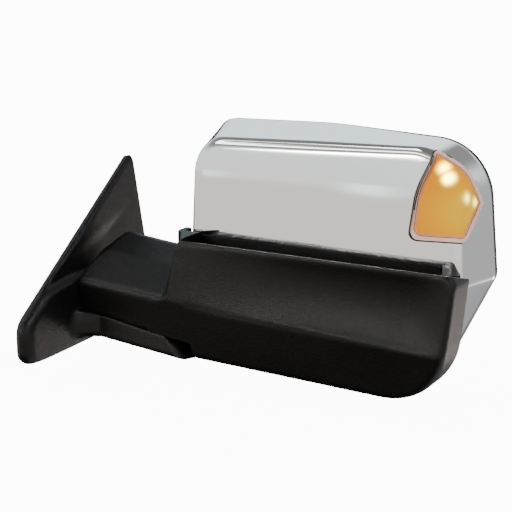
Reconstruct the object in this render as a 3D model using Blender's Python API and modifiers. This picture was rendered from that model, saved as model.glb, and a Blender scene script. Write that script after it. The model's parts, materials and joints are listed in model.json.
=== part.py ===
"""Flip-up towing mirror for a truck door: base, folding arm, flipping head, two adjustable glasses.

Dimensions are in millimetres and become metres when a mesh is made. +X points away from the door, -Y to
the front of the vehicle, +Z up. The origin is on the door face, in the middle of the mounting bracket.
"""

import math

import bmesh
import bpy
from mathutils import Matrix, Vector
from mathutils.bvhtree import BVHTree

MM = 0.001
GAP = 0.3  # between pieces that touch
WALL = 2.5  # moulded covers
BEYOND = 5.0  # how far a cutter runs past what it cuts

# Joint axes
FOLD_X, FOLD_Y = 80.0, 15.0  # the arm's folding axis, where it crosses the origin's level
FOLD_TILT = 8.0  # its top leans outboard, in degrees
FLIP_X, FLIP_Z = 375.0, 2.0  # axis along Y that the head flips about
GLASS_X, GLASS_Y, GLASS_Z = 245.0, 49.0, 62.0  # centre of the main glass's ball
SPOT_X = 392.0  # the spotter's ball, beside the main one

# Base: a sail-shaped plate that flares into a foot under the arm
SAIL_CORNERS = ((80, 130, 4), (124, -64.5, 14), (-122.5, -64.5, 13), (-122.5, -21.5, 22))
SAIL_CENTRE = (12.0, -40.0)
SAIL_FACE_X = 11.5  # the sail's face near its rim
SAIL_CROWN = 2.0
RIM_X = 3.3  # the cover's rim stands on the gasket
FLARE_REACH = 24.0
FLARE_SHARE = 0.25
FOOT_START_X = SAIL_FACE_X + SAIL_CROWN + FLARE_REACH
FOOT_END_X = 156.0
FOOT_FRONT, FOOT_REAR = -30.0, 62.0
FOOT_BOTTOM, FOOT_SLOPE = -52.5, -0.09
FOOT_TIP_RADIUS = 84.0
SEAM = -33.0  # level of the joint between foot and arm, along the folding axis
SEAM_GAP = 0.8
SEAM_RADIUS, SEAM_DROP = 64.0, 1.16  # outside this radius the joint slopes down
SWING_RADIUS = 62.5  # the arm's rear stays inside this radius, to pass the sail
BRACKET_THICKNESS = 4.0
TOWER_RADIUS = 25.0
SHAFT_BORE, FOLD_SHAFT, FLIP_SHAFT = 6.0, 10.0, 10.5  # both shafts are hollow, for the harness
HUB_BORE = 14.0  # both hubs, lined with a bushing
FOLD_HUB = (-26.8, -7.0)  # the arm's hub, along the folding axis
STUDS = {"stud_1": (62, 62), "stud_2": (-85, -38), "stud_3": (92, -42)}
LOCATING_PIN = (-42, -36)
HARNESS_HOLE = (40, 8)

# Arm: a neck over the foot, then a long paddle in front of the head
NECK_START_X = 15.5
NECK_REAR = 46.0
NECK_END_RADIUS = 44.0
PADDLE_CORNERS = ((139, 68, 9), (440, 68, 13), (427, -67.5, 68), (98, -58.5, 4), (98, -4, 3), (124, 6, 10))
PADDLE_REAR = 6.0
PADDLE_TOP, PADDLE_BOTTOM = 68.0, -62.0
PADDLE_TOP_FRONT, PADDLE_BOTTOM_FRONT, RIDGE_FRONT = -33.0, -26.0, -38.5
PADDLE_EDGE = 7.0
RIDGE = ((16, 10.5), (110, 5.5), (190, -2), (410, -10.5))
SPINE_START_X, SPINE_END_X = 150.0, 400.0
GROOVE_X = (144, 424)
GROOVE = ((-27, 68.6), (10, 56.4), (10, 84), (-27, 84))
SHELF_END = ((141, -28), (126, -4), (117.5, 4), (117.5, 21),
             (125.5, 21), (125.5, 5.8), (145, 5.8), (145, -28))
SHELF_END_BOTTOM, SHELF_END_TOP = 36.0, 67.8
ARM_SCREWS = {"arm_screw_1": (185, 44), "arm_screw_2": (295, 41), "arm_screw_3": (405, 44),
              "arm_screw_4": (250, -46)}

# Head: its outline tapers towards the front
HEAD_FRONT, HEAD_REAR = 7.0, 62.0
HEAD_FRONT_CORNERS = ((130, 163, 36), (265, 168, 600), (420, 175, 50),
                      (430, 46, 12), (386, -46, 20), (130, -46, 40))
HEAD_REAR_CORNERS = ((134, 179.5, 20), (265, 183, 600), (432, 175, 60),
                     (444.5, 46, 14), (397, -53, 22), (130, -53, 44))
HEAD_EDGE_RADIUS = 9.0
CHROME_BOTTOM = 66.0
CHROME_SIDE_X = 411.0
LENS_POINT = (424, 20, 125)
LENS_AZIMUTH, LENS_TILT = 29.5, 14.0  # the lens faces outboard and a little up
LENS_CORNERS = ((-25, 53, 6), (8, 32, 40), (24, 0, 6), (4, -40, 9), (-50, -36, 9), (-44, 12, 80))
LED_SPOTS = ((-17, 31), (-13, 22), (-28, -8), (-1, 4), (8, 1))
LAMP_REAR = HEAD_REAR - 20

# Glasses
MAIN_OPENING = ((139, 170, 20), (342, 171, 8), (342, -44, 8), (141, -44, 34))
SPOT_OPENING = ((352, 170, 8), (424, 167, 50), (434.5, 46, 8), (391, -44, 14), (352, -44, 8))
GLASS_MARGIN = 3.5
BEZEL_Y, BEZEL_DEPTH = 66.8, 8.6  # middle and depth of each flat layer
HOLDER_Y, HOLDER_DEPTH = 58.4, 4.0
PAD_Y, PAD_DEPTH = 61.0, 0.6
GLASS_DEPTH = 2.0
BALL = ((0, 57), (3, 56.4), (6, 54), (8, 49), (6, 44.5))  # (radius, depth) of the ball both glasses turn on
BALL_SPACE, SOCKET = 9.4, 13.0
MOTORS = {"motor_tilt": (GLASS_X - 13, GLASS_Z + 15), "motor_pan": (GLASS_X + 17, GLASS_Z + 15)}
PLUNGERS = {"plunger_tilt": (GLASS_X, GLASS_Z - 27), "plunger_pan": (GLASS_X - 31, GLASS_Z)}


# ---------------------------------------------------------------- scene and materials
def clear_scene():
    for obj in list(bpy.data.objects):
        bpy.data.objects.remove(obj)


def collection(name):
    made = bpy.data.collections.new(name)
    bpy.context.scene.collection.children.link(made)
    return made


def material(name, color, roughness, metallic=0.0, emission=0.0, alpha=1.0):
    made = bpy.data.materials.new(name)
    made.use_nodes = True
    shader = made.node_tree.nodes["Principled BSDF"]
    shader.inputs["Base Color"].default_value = (*color, 1)
    shader.inputs["Roughness"].default_value = roughness
    shader.inputs["Metallic"].default_value = metallic
    shader.inputs["Emission Color"].default_value = (*color, 1)
    shader.inputs["Emission Strength"].default_value = emission
    shader.inputs["Alpha"].default_value = alpha
    return made


def axis_empty(name, point, parent=None):
    empty = bpy.data.objects.new(name, None)
    PARTS.objects.link(empty)
    empty.empty_display_size = 0.03
    empty.parent = parent
    world = Vector(point) * MM
    empty["world"] = list(world)
    empty.location = world - Vector(parent["world"]) if parent else world
    return empty


def adopt(obj, parent, home):
    """Puts obj in the parts' collection, under parent, without moving it."""
    PARTS.objects.link(obj)
    obj.parent = parent
    obj.matrix_parent_inverse = Matrix.Translation(-Vector(parent["world"]))
    obj.location = home
    return obj


def shade(obj, angle=35):
    obj.data.shade_smooth()
    obj.data.set_sharp_from_angle(angle=math.radians(angle))


# ---------------------------------------------------------------- outlines
def rounded(corners, steps=5):
    """Points of a closed outline whose corners are (x, y, radius)."""
    points = []
    for index, (x, y, radius) in enumerate(corners):
        here = Vector((x, y))
        back = (Vector(corners[index - 1][:2]) - here).normalized()
        ahead = (Vector(corners[(index + 1) % len(corners)][:2]) - here).normalized()
        half = back.angle(ahead) / 2
        centre = here + (back + ahead).normalized() * (radius / math.sin(half))
        start = here + back * (radius / math.tan(half)) - centre
        end = here + ahead * (radius / math.tan(half)) - centre
        sweep = start.angle_signed(end)
        for step in range(steps + 1):
            turn = -sweep * step / steps
            points.append(centre + Matrix.Rotation(turn, 2) @ start)
    return points


def inset(corners, distance):
    """The corners of the same outline, drawn in by a distance. The corners run clockwise."""
    moved = []
    for index, (x, y, radius) in enumerate(corners):
        here = Vector((x, y))
        back = (here - Vector(corners[index - 1][:2])).normalized()
        ahead = (Vector(corners[(index + 1) % len(corners)][:2]) - here).normalized()
        inward = Vector((back.y, -back.x)) + Vector((ahead.y, -ahead.x))
        reach = distance * 2 / inward.length
        spot = here + inward.normalized() * reach
        moved.append((spot.x, spot.y, max(radius - distance, 0.5)))
    return moved


def blend_corners(first, second, share):
    return [tuple(a + (b - a) * share for a, b in zip(p, q)) for p, q in zip(first, second)]


def ray_point(outline, centre, angle):
    """Where a ray from the centre leaves a convex outline."""
    heading = Vector((math.cos(angle), math.sin(angle)))
    best = None
    for index, end in enumerate(outline):
        start = outline[index - 1]
        side = end - start
        across = heading.x * side.y - heading.y * side.x
        if abs(across) < 1e-9:
            continue
        toward = start - centre
        reach = (toward.x * side.y - toward.y * side.x) / across
        along = (toward.x * heading.y - toward.y * heading.x) / across
        if reach > 0 and -1e-6 <= along <= 1 + 1e-6:
            best = max(reach, best or 0)
    return centre + heading * best


def interpolate(points, x):
    """Height at x of a line through (x, height) points."""
    for (start_x, start), (end_x, end) in zip(points, points[1:]):
        if x <= end_x:
            return start + (end - start) * (max(x, start_x) - start_x) / (end_x - start_x)
    return points[-1][1]


# ---------------------------------------------------------------- folding axis
def fold_point(height):
    """The point of the folding axis at this distance along it."""
    tilt = math.radians(FOLD_TILT)
    return Vector((FOLD_X + height * math.sin(tilt), FOLD_Y, height * math.cos(tilt)))


def seam_z(x, height):
    """World height at x of the plane that crosses the folding axis squarely at this distance along it."""
    tilt = math.radians(FOLD_TILT)
    return height / math.cos(tilt) - math.tan(tilt) * (x - FOLD_X)


# ---------------------------------------------------------------- shapes
def mesh_object(name, bm):
    bmesh.ops.recalc_face_normals(bm, faces=bm.faces)
    mesh = bpy.data.meshes.new(name)
    bm.to_mesh(mesh)
    bm.free()
    return bpy.data.objects.new(name, mesh)


def loft(name, rings):
    """A closed solid through rings of equal numbers of points."""
    bm = bmesh.new()
    rows = [[bm.verts.new(Vector(point) * MM) for point in ring] for ring in rings]
    for first, second in zip(rows, rows[1:]):
        for index in range(len(first)):
            bm.faces.new((first[index - 1], first[index], second[index], second[index - 1]))
    bm.faces.new(rows[0])
    bm.faces.new(rows[-1])
    return mesh_object(name, bm)


def box(name, low, high, bevel=0.0):
    bm = bmesh.new()
    bmesh.ops.create_cube(bm, size=1)
    size = Vector(high) - Vector(low)
    bmesh.ops.scale(bm, vec=size * MM, verts=bm.verts)
    obj = mesh_object(name, bm)
    obj.location = (Vector(high) + Vector(low)) / 2 * MM
    if bevel:
        edge = obj.modifiers.new("edges", "BEVEL")
        edge.width = bevel * MM
        edge.segments = 2
    return obj


def cylinder(name, start, end, radius, segments=32):
    axis = Vector(end) - Vector(start)
    bm = bmesh.new()
    bmesh.ops.create_cone(bm, cap_ends=True, segments=segments, radius1=radius * MM,
                          radius2=radius * MM, depth=axis.length * MM)
    obj = mesh_object(name, bm)
    obj.location = (Vector(end) + Vector(start)) / 2 * MM
    obj.rotation_mode = "QUATERNION"
    obj.rotation_quaternion = axis.to_track_quat("Z", "Y")
    return obj


def turned(name, profile, centre, axis, steps=32):
    """A turned solid. The profile is (radius, distance along the axis), outer side first, top to bottom."""
    bm = bmesh.new()
    dots = [bm.verts.new((radius * MM, 0, height * MM)) for radius, height in profile]
    for first, second in zip(dots, dots[1:]):
        bm.edges.new((first, second))
    if profile[0][0] > 0:
        bm.edges.new((dots[-1], dots[0]))
    mesh = bpy.data.meshes.new(name)
    bm.to_mesh(mesh)
    bm.free()
    obj = bpy.data.objects.new(name, mesh)
    obj.location = Vector(centre) * MM
    turns = {"X": (0, 90, 0), "Y": (-90, 0, 0), "Z": (0, 0, 0), "FOLD": (0, FOLD_TILT, 0)}
    obj.rotation_euler = [math.radians(turn) for turn in turns[axis]]
    screw = obj.modifiers.new("turn", "SCREW")
    screw.steps = screw.render_steps = steps
    screw.use_merge_vertices = True
    screw.merge_threshold = 0.00001
    return obj


def ring(name, inner, outer, low, high, centre, axis, steps=20):
    profile = [(outer, high), (outer, low), (inner, low), (inner, high)]
    return turned(name, profile, centre, axis, steps)


def plate(name, outline, holes, centre, thickness, facing):
    """A flat plate, centred on its thickness. Facing X: outline is (y, z). Facing Y: outline is (x, z)."""
    curve = bpy.data.curves.new(name, "CURVE")
    curve.dimensions = "2D"
    curve.fill_mode = "BOTH"
    curve.extrude = thickness / 2 * MM
    for loop in [outline, *holes]:
        spline = curve.splines.new("POLY")
        spline.points.add(len(loop) - 1)
        spline.use_cyclic_u = True
        for dot, (across, up) in zip(spline.points, loop):
            dot.co = (across * MM, up * MM, 0, 1)
    obj = bpy.data.objects.new(name, curve)
    turn = {"X": (math.pi / 2, 0, math.pi / 2), "Y": (math.pi / 2, 0, 0)}[facing]
    obj.rotation_euler = turn
    obj.location = Vector(centre) * MM
    return obj


def as_mesh(curve_object):
    """The curve's solid as a mesh that Booleans can take."""
    bpy.context.scene.collection.objects.link(curve_object)
    bpy.context.view_layer.update()
    graph = bpy.context.evaluated_depsgraph_get()
    mesh = bpy.data.meshes.new_from_object(curve_object.evaluated_get(graph))
    bm = bmesh.new()
    bm.from_mesh(mesh)
    bmesh.ops.remove_doubles(bm, verts=bm.verts, dist=0.00001)
    bm.to_mesh(mesh)
    bm.free()
    name = curve_object.name
    world = curve_object.matrix_world.copy()
    bpy.data.objects.remove(curve_object)
    obj = bpy.data.objects.new(name, mesh)
    obj.matrix_world = world
    return obj


def circle(centre, radius, count=24):
    turns = [2 * math.pi * index / count for index in range(count)]
    return [(centre[0] + radius * math.cos(turn), centre[1] + radius * math.sin(turn)) for turn in turns]


def cutter(obj):
    CUTTERS.objects.link(obj)
    obj.hide_render = True
    obj.display_type = "WIRE"
    return obj


def combine(obj, other, operation):
    step = obj.modifiers.new(operation.lower(), "BOOLEAN")
    step.operation = operation
    step.object = other
    step.solver = "EXACT"
    return obj


def finish(obj, parent, look, angle=35):
    adopt(obj, parent, obj.location.copy())
    obj.data.materials.append(look)
    if obj.type == "MESH":
        shade(obj, angle)
    return obj


# ---------------------------------------------------------------- base
def sail_angles():
    """Directions that catch every rounded corner of the sail, and even steps between."""
    centre = Vector(SAIL_CENTRE)
    even = [2 * math.pi * index / 24 for index in range(24)]
    corners = [math.atan2(*(point - centre).yx) % (2 * math.pi) for point in rounded(SAIL_CORNERS, 3)]
    return sorted(set(round(angle, 4) for angle in even + corners))


def foot_section(x, grow):
    """The foot's section at x, as a (y, z) outline."""
    half = math.sqrt(FOOT_TIP_RADIUS**2 - max(x - FOLD_X, 0) ** 2)
    front = max(FOOT_FRONT, FOLD_Y - half) - grow
    rear = min(FOOT_REAR, FOLD_Y + half) + grow
    bottom = FOOT_BOTTOM + FOOT_SLOPE * (x - FOOT_START_X) - grow
    top = seam_z(x, SEAM) + grow
    return rounded(((front, top, 1), (rear, top, 1), (rear - 6, bottom, 6), (front + 1, bottom, 6)), 3)


def base_solid(name, grow, start_x):
    """Sail, flare and foot as one closed solid, grown by a distance."""
    angles = sail_angles()
    sail = rounded(inset(SAIL_CORNERS, -grow), 3)
    centre = Vector(SAIL_CENTRE)
    foot = foot_section(FOOT_START_X, grow)
    rim = [ray_point(sail, centre, angle) for angle in angles]
    neck = [ray_point(foot, centre, angle) for angle in angles]
    rings = [[(start_x, *point) for point in rim], [(SAIL_FACE_X - 2 + grow, *point) for point in rim]]
    for share in (0.98, 0.6, 0.25, 0.16, 0.1, 0.05):
        rise = max(0.0, 1 - share / FLARE_SHARE) ** 2 * FLARE_REACH
        x = SAIL_FACE_X + SAIL_CROWN * (1 - share) + rise + grow
        rings.append([(x, *near.lerp(far, share)) for near, far in zip(neck, rim)])
    for x in (FOOT_START_X, 80, 110, 130, 145, FOOT_END_X):
        section = foot_section(x, grow)
        middle = sum(section, Vector((0, 0))) / len(section)
        rings.append([(x + grow, *ray_point(section, middle, angle)) for angle in angles])
    return loft(name, rings)


def hat(name, level, top, bottom, above):
    """The space above or below the joint's surface: flat inside its radius, sloping down outside it."""
    reach = SEAM_RADIUS + (level - bottom) / SEAM_DROP
    if above:
        profile = [(0, top), (reach, top), (reach, bottom), (SEAM_RADIUS, level), (0, level)]
    else:
        profile = [(0, level), (SEAM_RADIUS, level), (reach, bottom), (0, bottom)]
    return turned(name, profile, (FOLD_X, FOLD_Y, 0), "FOLD", 48)


def arm_sweep(name, wall):
    """What the arm moves through, over and outboard of the foot, deeper by a wall."""
    level = SEAM - wall
    outboard = hat(name + "_outboard", level, 120, -110, True)
    half = cutter(box(name + "_half", (FOLD_X, -150, -150), (300, 200, 250)))
    combine(outboard, half, "INTERSECT")
    sweep = cylinder(name, fold_point(level + 0.1), fold_point(120), SWING_RADIUS + 2 + wall, 48)
    return combine(sweep, cutter(outboard), "UNION")


def base_cover(parent):
    shell = base_solid("base_cover", 0, RIM_X)
    hollow = cutter(base_solid("base_hollow", -WALL, -BEYOND))
    combine(hollow, cutter(arm_sweep("inner_sweep", WALL)), "DIFFERENCE")
    combine(shell, cutter(arm_sweep("outer_sweep", 0)), "DIFFERENCE")
    combine(shell, hollow, "DIFFERENCE")
    mouth = cutter(cylinder("tower_mouth", fold_point(-44), fold_point(-20), TOWER_RADIUS + WALL))
    combine(shell, mouth, "DIFFERENCE")
    finish(shell, parent, BLACK, 30)


def base_bracket(parent):
    holes = [circle(spot, 4.4, 16) for spot in STUDS.values()]
    holes += [circle(LOCATING_PIN, 5.4, 16), circle(HARNESS_HOLE, 15, 20)]
    outline = rounded(inset(SAIL_CORNERS, 14), 3)
    bracket = as_mesh(plate("base_bracket", outline, holes, (BRACKET_THICKNESS / 2, 0, 0),
                            BRACKET_THICKNESS, "X"))
    beam = cutter(box("bracket_beam", (2, -20, -47), (110, 38, -41.5)))
    tower = cutter(cylinder("bracket_tower", fold_point(-48), fold_point(-30), TOWER_RADIUS))
    bore = cutter(cylinder("tower_bore", fold_point(-60), fold_point(-20), FOLD_SHAFT + GAP, 24))
    combine(bracket, beam, "UNION")
    combine(bracket, tower, "UNION")
    combine(bracket, bore, "DIFFERENCE")
    finish(bracket, parent, CAST)


def base_gasket(parent):
    outer = rounded(inset(SAIL_CORNERS, 1.5), 3)
    inner = rounded(inset(SAIL_CORNERS, 11), 3)
    finish(plate("base_gasket", outer, [inner], (1.5, 0, 0), 3, "X"), parent, RUBBER)


def door_fastener(name, spot, shank, tail, parent):
    """A headed stud that stands out of the door face."""
    head, head_top, chamfer = shank * 1.9, 7.5, 1.5
    seat = BRACKET_THICKNESS + GAP
    profile = [(0, head_top), (head, head_top), (head, seat), (shank, seat), (shank, -tail),
               (shank - 1, -tail - chamfer), (0, -tail - chamfer)]
    finish(turned(name, profile, (0, *spot), "X", 16), parent, STEEL)


def base_hardware(parent):
    for name, spot in STUDS.items():
        door_fastener(name, spot, 4.0, 24, parent)
    door_fastener("locating_pin", LOCATING_PIN, 5.0, 8, parent)
    sleeve = [(18, 7.5), (18, 4.3), (14.6, 4.3), (14.6, -3), (9, -3), (9, 7.5)]
    finish(turned("harness_grommet", sleeve, (0, *HARNESS_HOLE), "X", 20), parent, RUBBER)
    finish(fold_ring("fold_shaft", SHAFT_BORE, FOLD_SHAFT, -47, 21), parent, STEEL)
    finish(fold_ring("fold_detent_ring", 14, 24, -29.7, -27.2), parent, STEEL)
    finish(fold_ring("shaft_washer", 10.4, 20, 10.9, 12.9), parent, STEEL)
    finish(fold_ring("shaft_nut", 12, 17, 13.2, 19.2, 6), parent, STEEL)


def fold_ring(name, inner, outer, low, high, steps=20):
    return ring(name, inner, outer, low, high, (FOLD_X, FOLD_Y, 0), "FOLD", steps)


# ---------------------------------------------------------------- arm
def arm_face(x, z):
    """How far forward the arm's face stands: it leans back above and below the ridge line."""
    ridge = interpolate(RIDGE, x)
    if z > ridge:
        share, edge = (z - ridge) / (PADDLE_TOP - ridge), PADDLE_TOP_FRONT
    else:
        share, edge = (ridge - z) / (ridge - PADDLE_BOTTOM), PADDLE_BOTTOM_FRONT
    return RIDGE_FRONT + share * (edge - RIDGE_FRONT)


def paddle_solid(name, draw_in, rear):
    """The long shell in front of the head: a rounded outline, a rounded edge and a face with a ridge."""
    outline = rounded(inset(PADDLE_CORNERS, draw_in), 5)
    ends = [min(max(x, SPINE_START_X), SPINE_END_X) for x, z in outline]
    spine = [Vector((x, interpolate(RIDGE, x))) for x in ends]
    rings = [[(x, rear, z) for x, z in outline]]
    for turn in (0, 30, 60):
        inward = PADDLE_EDGE * (1 - math.cos(math.radians(turn)))
        back = PADDLE_EDGE * (1 - math.sin(math.radians(turn)))
        spots = [p + (q - p).normalized() * inward for p, q in zip(outline, spine)]
        rings.append([(x, arm_face(x, z) + draw_in + back, z) for x, z in spots])
    for share in (0.16, 0.45, 0.75, 0.93):
        spots = [p.lerp(q, share) for p, q in zip(outline, spine)]
        rings.append([(x, arm_face(x, z) + draw_in, z) for x, z in spots])
    return loft(name, rings)


def neck_section(x, draw_in, bottom):
    """The neck's section at x as a (y, z) outline: a roof that slopes up from the ridge to the rear."""
    radius = (SWING_RADIUS if x < FOLD_X else NECK_END_RADIUS) - draw_in
    rear = min(NECK_REAR - draw_in, FOLD_Y + math.sqrt(max(radius**2 - (FOLD_X - x) ** 2, 9)))
    ridge = interpolate(RIDGE, x)
    full_roof = 53 - 0.1 * (x - 58)
    roof = ridge + (full_roof - ridge) * (rear - RIDGE_FRONT) / (NECK_REAR - RIDGE_FRONT)
    front = RIDGE_FRONT + GAP + draw_in
    low_front = arm_face(x, bottom) + GAP + draw_in
    drop = draw_in * 1.15
    crown_y = (front + rear) / 2
    crown = (ridge + roof) / 2 + 2.5
    corners = ((front, ridge - drop, 12), (crown_y, crown - drop, 60), (rear, roof - drop, 10),
               (rear, bottom, 0.6), (low_front, bottom, 0.6))
    return rounded(corners, 4)


def neck_solid(name, draw_in, lower):
    """The neck's outer form, drawn in by a distance, its open underside lower by another."""
    tilt = math.tan(math.radians(FOLD_TILT))
    end = FOLD_X + NECK_END_RADIUS
    rings = []
    for x in (NECK_START_X, 20, 28, 40, 60, 80, 100, 110, 116, 121, end):
        at = min(max(x, NECK_START_X + draw_in), end - draw_in)
        fade = max(FOLD_X - at, 0) / SWING_RADIUS
        section = neck_section(at, draw_in, seam_z(at, SEAM + SEAM_GAP) - lower)
        rings.append([(at + max(z, 0) * tilt * fade, y, z) for y, z in section])
    return loft(name, rings)


def shelf_groove(name, wall):
    """The trough along the top of the paddle, in front of the head."""
    start, end = GROOVE_X
    outline = [(y, z - wall) for y, z in GROOVE]
    return as_mesh(plate(name, outline, [], ((start + end) / 2, 0, 0), end - start + 2 * wall, "X"))


def arm_front_cover(parent):
    cover = paddle_solid("arm_front_cover", 0, PADDLE_REAR)
    foot_below = SEAM + SEAM_GAP - 0.2
    paddle_hollow = paddle_solid("paddle_hollow", WALL, PADDLE_REAR + BEYOND)
    combine(paddle_hollow, cutter(shelf_groove("groove_floor", WALL)), "DIFFERENCE")
    combine(paddle_hollow, cutter(hat("foot_wall", foot_below + WALL, 0, -110, False)), "DIFFERENCE")
    shelf_end = [[(x, y, z) for x, y in SHELF_END] for z in (SHELF_END_BOTTOM, SHELF_END_TOP)]
    combine(cover, cutter(neck_solid("neck_outer", 0, 0)), "UNION")
    combine(cover, cutter(loft("shelf_end", shelf_end)), "UNION")
    hollows = (
        paddle_hollow,
        neck_solid("neck_hollow", WALL, 6),
        shelf_groove("groove", 0),
        base_solid("seam_space", 1.0, -BEYOND),
        hat("foot_space", foot_below, 0, -110, False),
    )
    for hollow in hollows:
        combine(cover, cutter(hollow), "DIFFERENCE")
    finish(cover, parent, BLACK, 30)


def arm_rear_cover(parent):
    outline = rounded(inset(PADDLE_CORNERS, WALL + 0.8), 5)
    holes = [circle((FLIP_X, FLIP_Z), 30, 32)] + [circle(spot, 5.2, 12) for spot in ARM_SCREWS.values()]
    cover = as_mesh(plate("arm_rear_cover", outline, holes, (0, PADDLE_REAR - 2, 0), 3, "Y"))
    cuts = (
        hat("rear_foot_space", SEAM + SEAM_GAP + WALL + 0.8, 0, -110, False),
        box("rear_neck_space", (85, -20, -75), (FOLD_X + NECK_END_RADIUS + 1.3, 20, 70)),
        box("rear_groove_space", (100, -21, 53.4), (452, 21, 82)),
    )
    for other in cuts:
        combine(cover, cutter(other), "DIFFERENCE")
    finish(cover, parent, BLACK)


def arm_frame(parent):
    frame = cylinder("arm_frame", fold_point(FOLD_HUB[0]), fold_point(FOLD_HUB[1]), 24)
    unions = (
        box("frame_neck", (80, -21, -26), (165, -2, -12)),
        box("frame_rise", (116, -21, -25), (165, -1, 2)),
        box("frame_beam", (150, -20, -29), (372, -6, 30)),
        cylinder("frame_boss", (FLIP_X, -22, FLIP_Z), (FLIP_X, 1, FLIP_Z), 34),
    )
    for other in unions:
        combine(frame, cutter(other), "UNION")
    for index in range(4):
        x = 168 + index * 44
        combine(frame, cutter(box(f"frame_pocket_{index}", (x, -30, -22), (x + 36, -10, 23))), "DIFFERENCE")
    fold_bore = cylinder("fold_bore", fold_point(-40), fold_point(20), HUB_BORE, 24)
    flip_bore = cylinder("flip_bore", (FLIP_X, -40, FLIP_Z), (FLIP_X, 10, FLIP_Z), FLIP_SHAFT + GAP, 24)
    combine(frame, cutter(fold_bore), "DIFFERENCE")
    combine(frame, cutter(flip_bore), "DIFFERENCE")
    finish(frame, parent, CAST)


def fold_spring(parent):
    """Three open turns of round wire."""
    turns, per_turn, radius, low, high = 3, 12, 15.5, -2.8, 9.0
    curve = bpy.data.curves.new("fold_spring", "CURVE")
    curve.dimensions = "3D"
    curve.bevel_depth = 1.5 * MM
    curve.bevel_resolution = 1
    curve.use_fill_caps = True
    spline = curve.splines.new("POLY")
    spline.points.add(turns * per_turn)
    for index, dot in enumerate(spline.points):
        turn = 2 * math.pi * index / per_turn
        height = low + (high - low) * index / (turns * per_turn)
        dot.co = (radius * math.cos(turn) * MM, radius * math.sin(turn) * MM, height * MM, 1)
    spring = bpy.data.objects.new("fold_spring", curve)
    spring.location = Vector((FOLD_X, FOLD_Y, 0)) * MM
    spring.rotation_euler = (0, math.radians(FOLD_TILT), 0)
    finish(spring, parent, STEEL)


def arm_hardware(parent):
    finish(fold_ring("fold_bushing", 10.4, HUB_BORE - GAP, *FOLD_HUB), parent, NYLON)
    finish(fold_ring("spring_seat", 10.4, 20, -6.7, -4.7), parent, STEEL)
    for name, (x, z) in ARM_SCREWS.items():
        profile = [(0, 1.6), (4.2, 1.2), (4.6, 0), (4.6, -0.8), (2, -0.8), (2, -14), (0, -14)]
        finish(turned(name, profile, (x, PADDLE_REAR - 2.4, z), "Y", 12), parent, STEEL)
    middle = (FLIP_X, 0, FLIP_Z)
    finish(ring("flip_shaft", SHAFT_BORE, FLIP_SHAFT, -26, 37, middle, "Y", 20), parent, STEEL)
    finish(ring("flip_detent_disc", 12, 27, 1.4, 4.4, middle, "Y", 20), parent, STEEL)


# ---------------------------------------------------------------- head
def head_solid(name, draw_in, rear):
    """The head's outer form, drawn in by a distance and run back to the rear level."""
    def corners(y):
        share = (min(y, HEAD_REAR) - HEAD_FRONT) / (HEAD_REAR - HEAD_FRONT)
        return blend_corners(HEAD_FRONT_CORNERS, HEAD_REAR_CORNERS, share)

    front = HEAD_FRONT + draw_in
    shoulder = front + HEAD_EDGE_RADIUS
    rings = []
    for y in (rear, (rear + shoulder) / 2, shoulder):
        outline = rounded(inset(corners(y), draw_in) if draw_in else corners(y), 5)
        rings.append([(x, y, z) for x, z in outline])
    for turn in (30, 60, 90):
        inward = HEAD_EDGE_RADIUS * (1 - math.cos(math.radians(turn)))
        y = front + HEAD_EDGE_RADIUS * (1 - math.sin(math.radians(turn)))
        outline = rounded(inset(corners(y), draw_in + inward), 5)
        rings.append([(x, y, z) for x, z in outline])
    return loft(name, rings)


def lens_axes():
    azimuth, tilt = math.radians(LENS_AZIMUTH), math.radians(LENS_TILT)
    level = Vector((math.sin(azimuth), -math.cos(azimuth), 0))
    outward = level * math.cos(tilt) + Vector((0, 0, math.sin(tilt)))
    across = Vector((math.cos(azimuth), math.sin(azimuth), 0))
    return across, outward.cross(across), outward


def lens_prism(name, draw_in):
    """A straight prism of the lens outline, along the way the lens faces."""
    across, up, outward = lens_axes()
    middle = Vector(LENS_POINT)
    outline = rounded(inset(LENS_CORNERS, draw_in), 4)
    rings = []
    for depth in (-32, 40):
        rings.append([middle + across * x + up * y + outward * depth for x, y in outline])
    return loft(name, rings)


def head_covers(parent):
    chrome = head_solid("chrome_cap", 0, HEAD_REAR)
    lower = head_solid("head_lower_cover", 0, HEAD_REAR)
    hollow = cutter(head_solid("head_hollow", WALL, HEAD_REAR + 5))
    notch = cutter(box("chrome_notch", (100, -20, -80), (CHROME_SIDE_X, 90, CHROME_BOTTOM)))
    lens_hole = cutter(lens_prism("lens_hole", 0))
    upper = cutter(box("lower_top", (100, -20, CHROME_BOTTOM - 0.6), (480, 90, 200)))
    side = cutter(box("lower_side", (CHROME_SIDE_X - 0.6, -20, -90), (480, 90, 200)))
    mouth = cutter(cylinder("flip_mouth", (FLIP_X, 0, FLIP_Z), (FLIP_X, 20, FLIP_Z), 30))
    for other in (hollow, notch, lens_hole):
        combine(chrome, other, "DIFFERENCE")
    for other in (hollow, upper, side, mouth):
        combine(lower, other, "DIFFERENCE")
    finish(chrome, parent, CHROME, 30)
    finish(lower, parent, BLACK, 30)


def head_bezel(parent):
    outline = rounded(inset(HEAD_REAR_CORNERS, 0.5), 5)
    holes = [rounded(MAIN_OPENING, 4), rounded(SPOT_OPENING, 4)]
    finish(plate("head_bezel", outline, holes, (0, BEZEL_Y, 0), BEZEL_DEPTH, "Y"), parent, BLACK)


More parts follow.
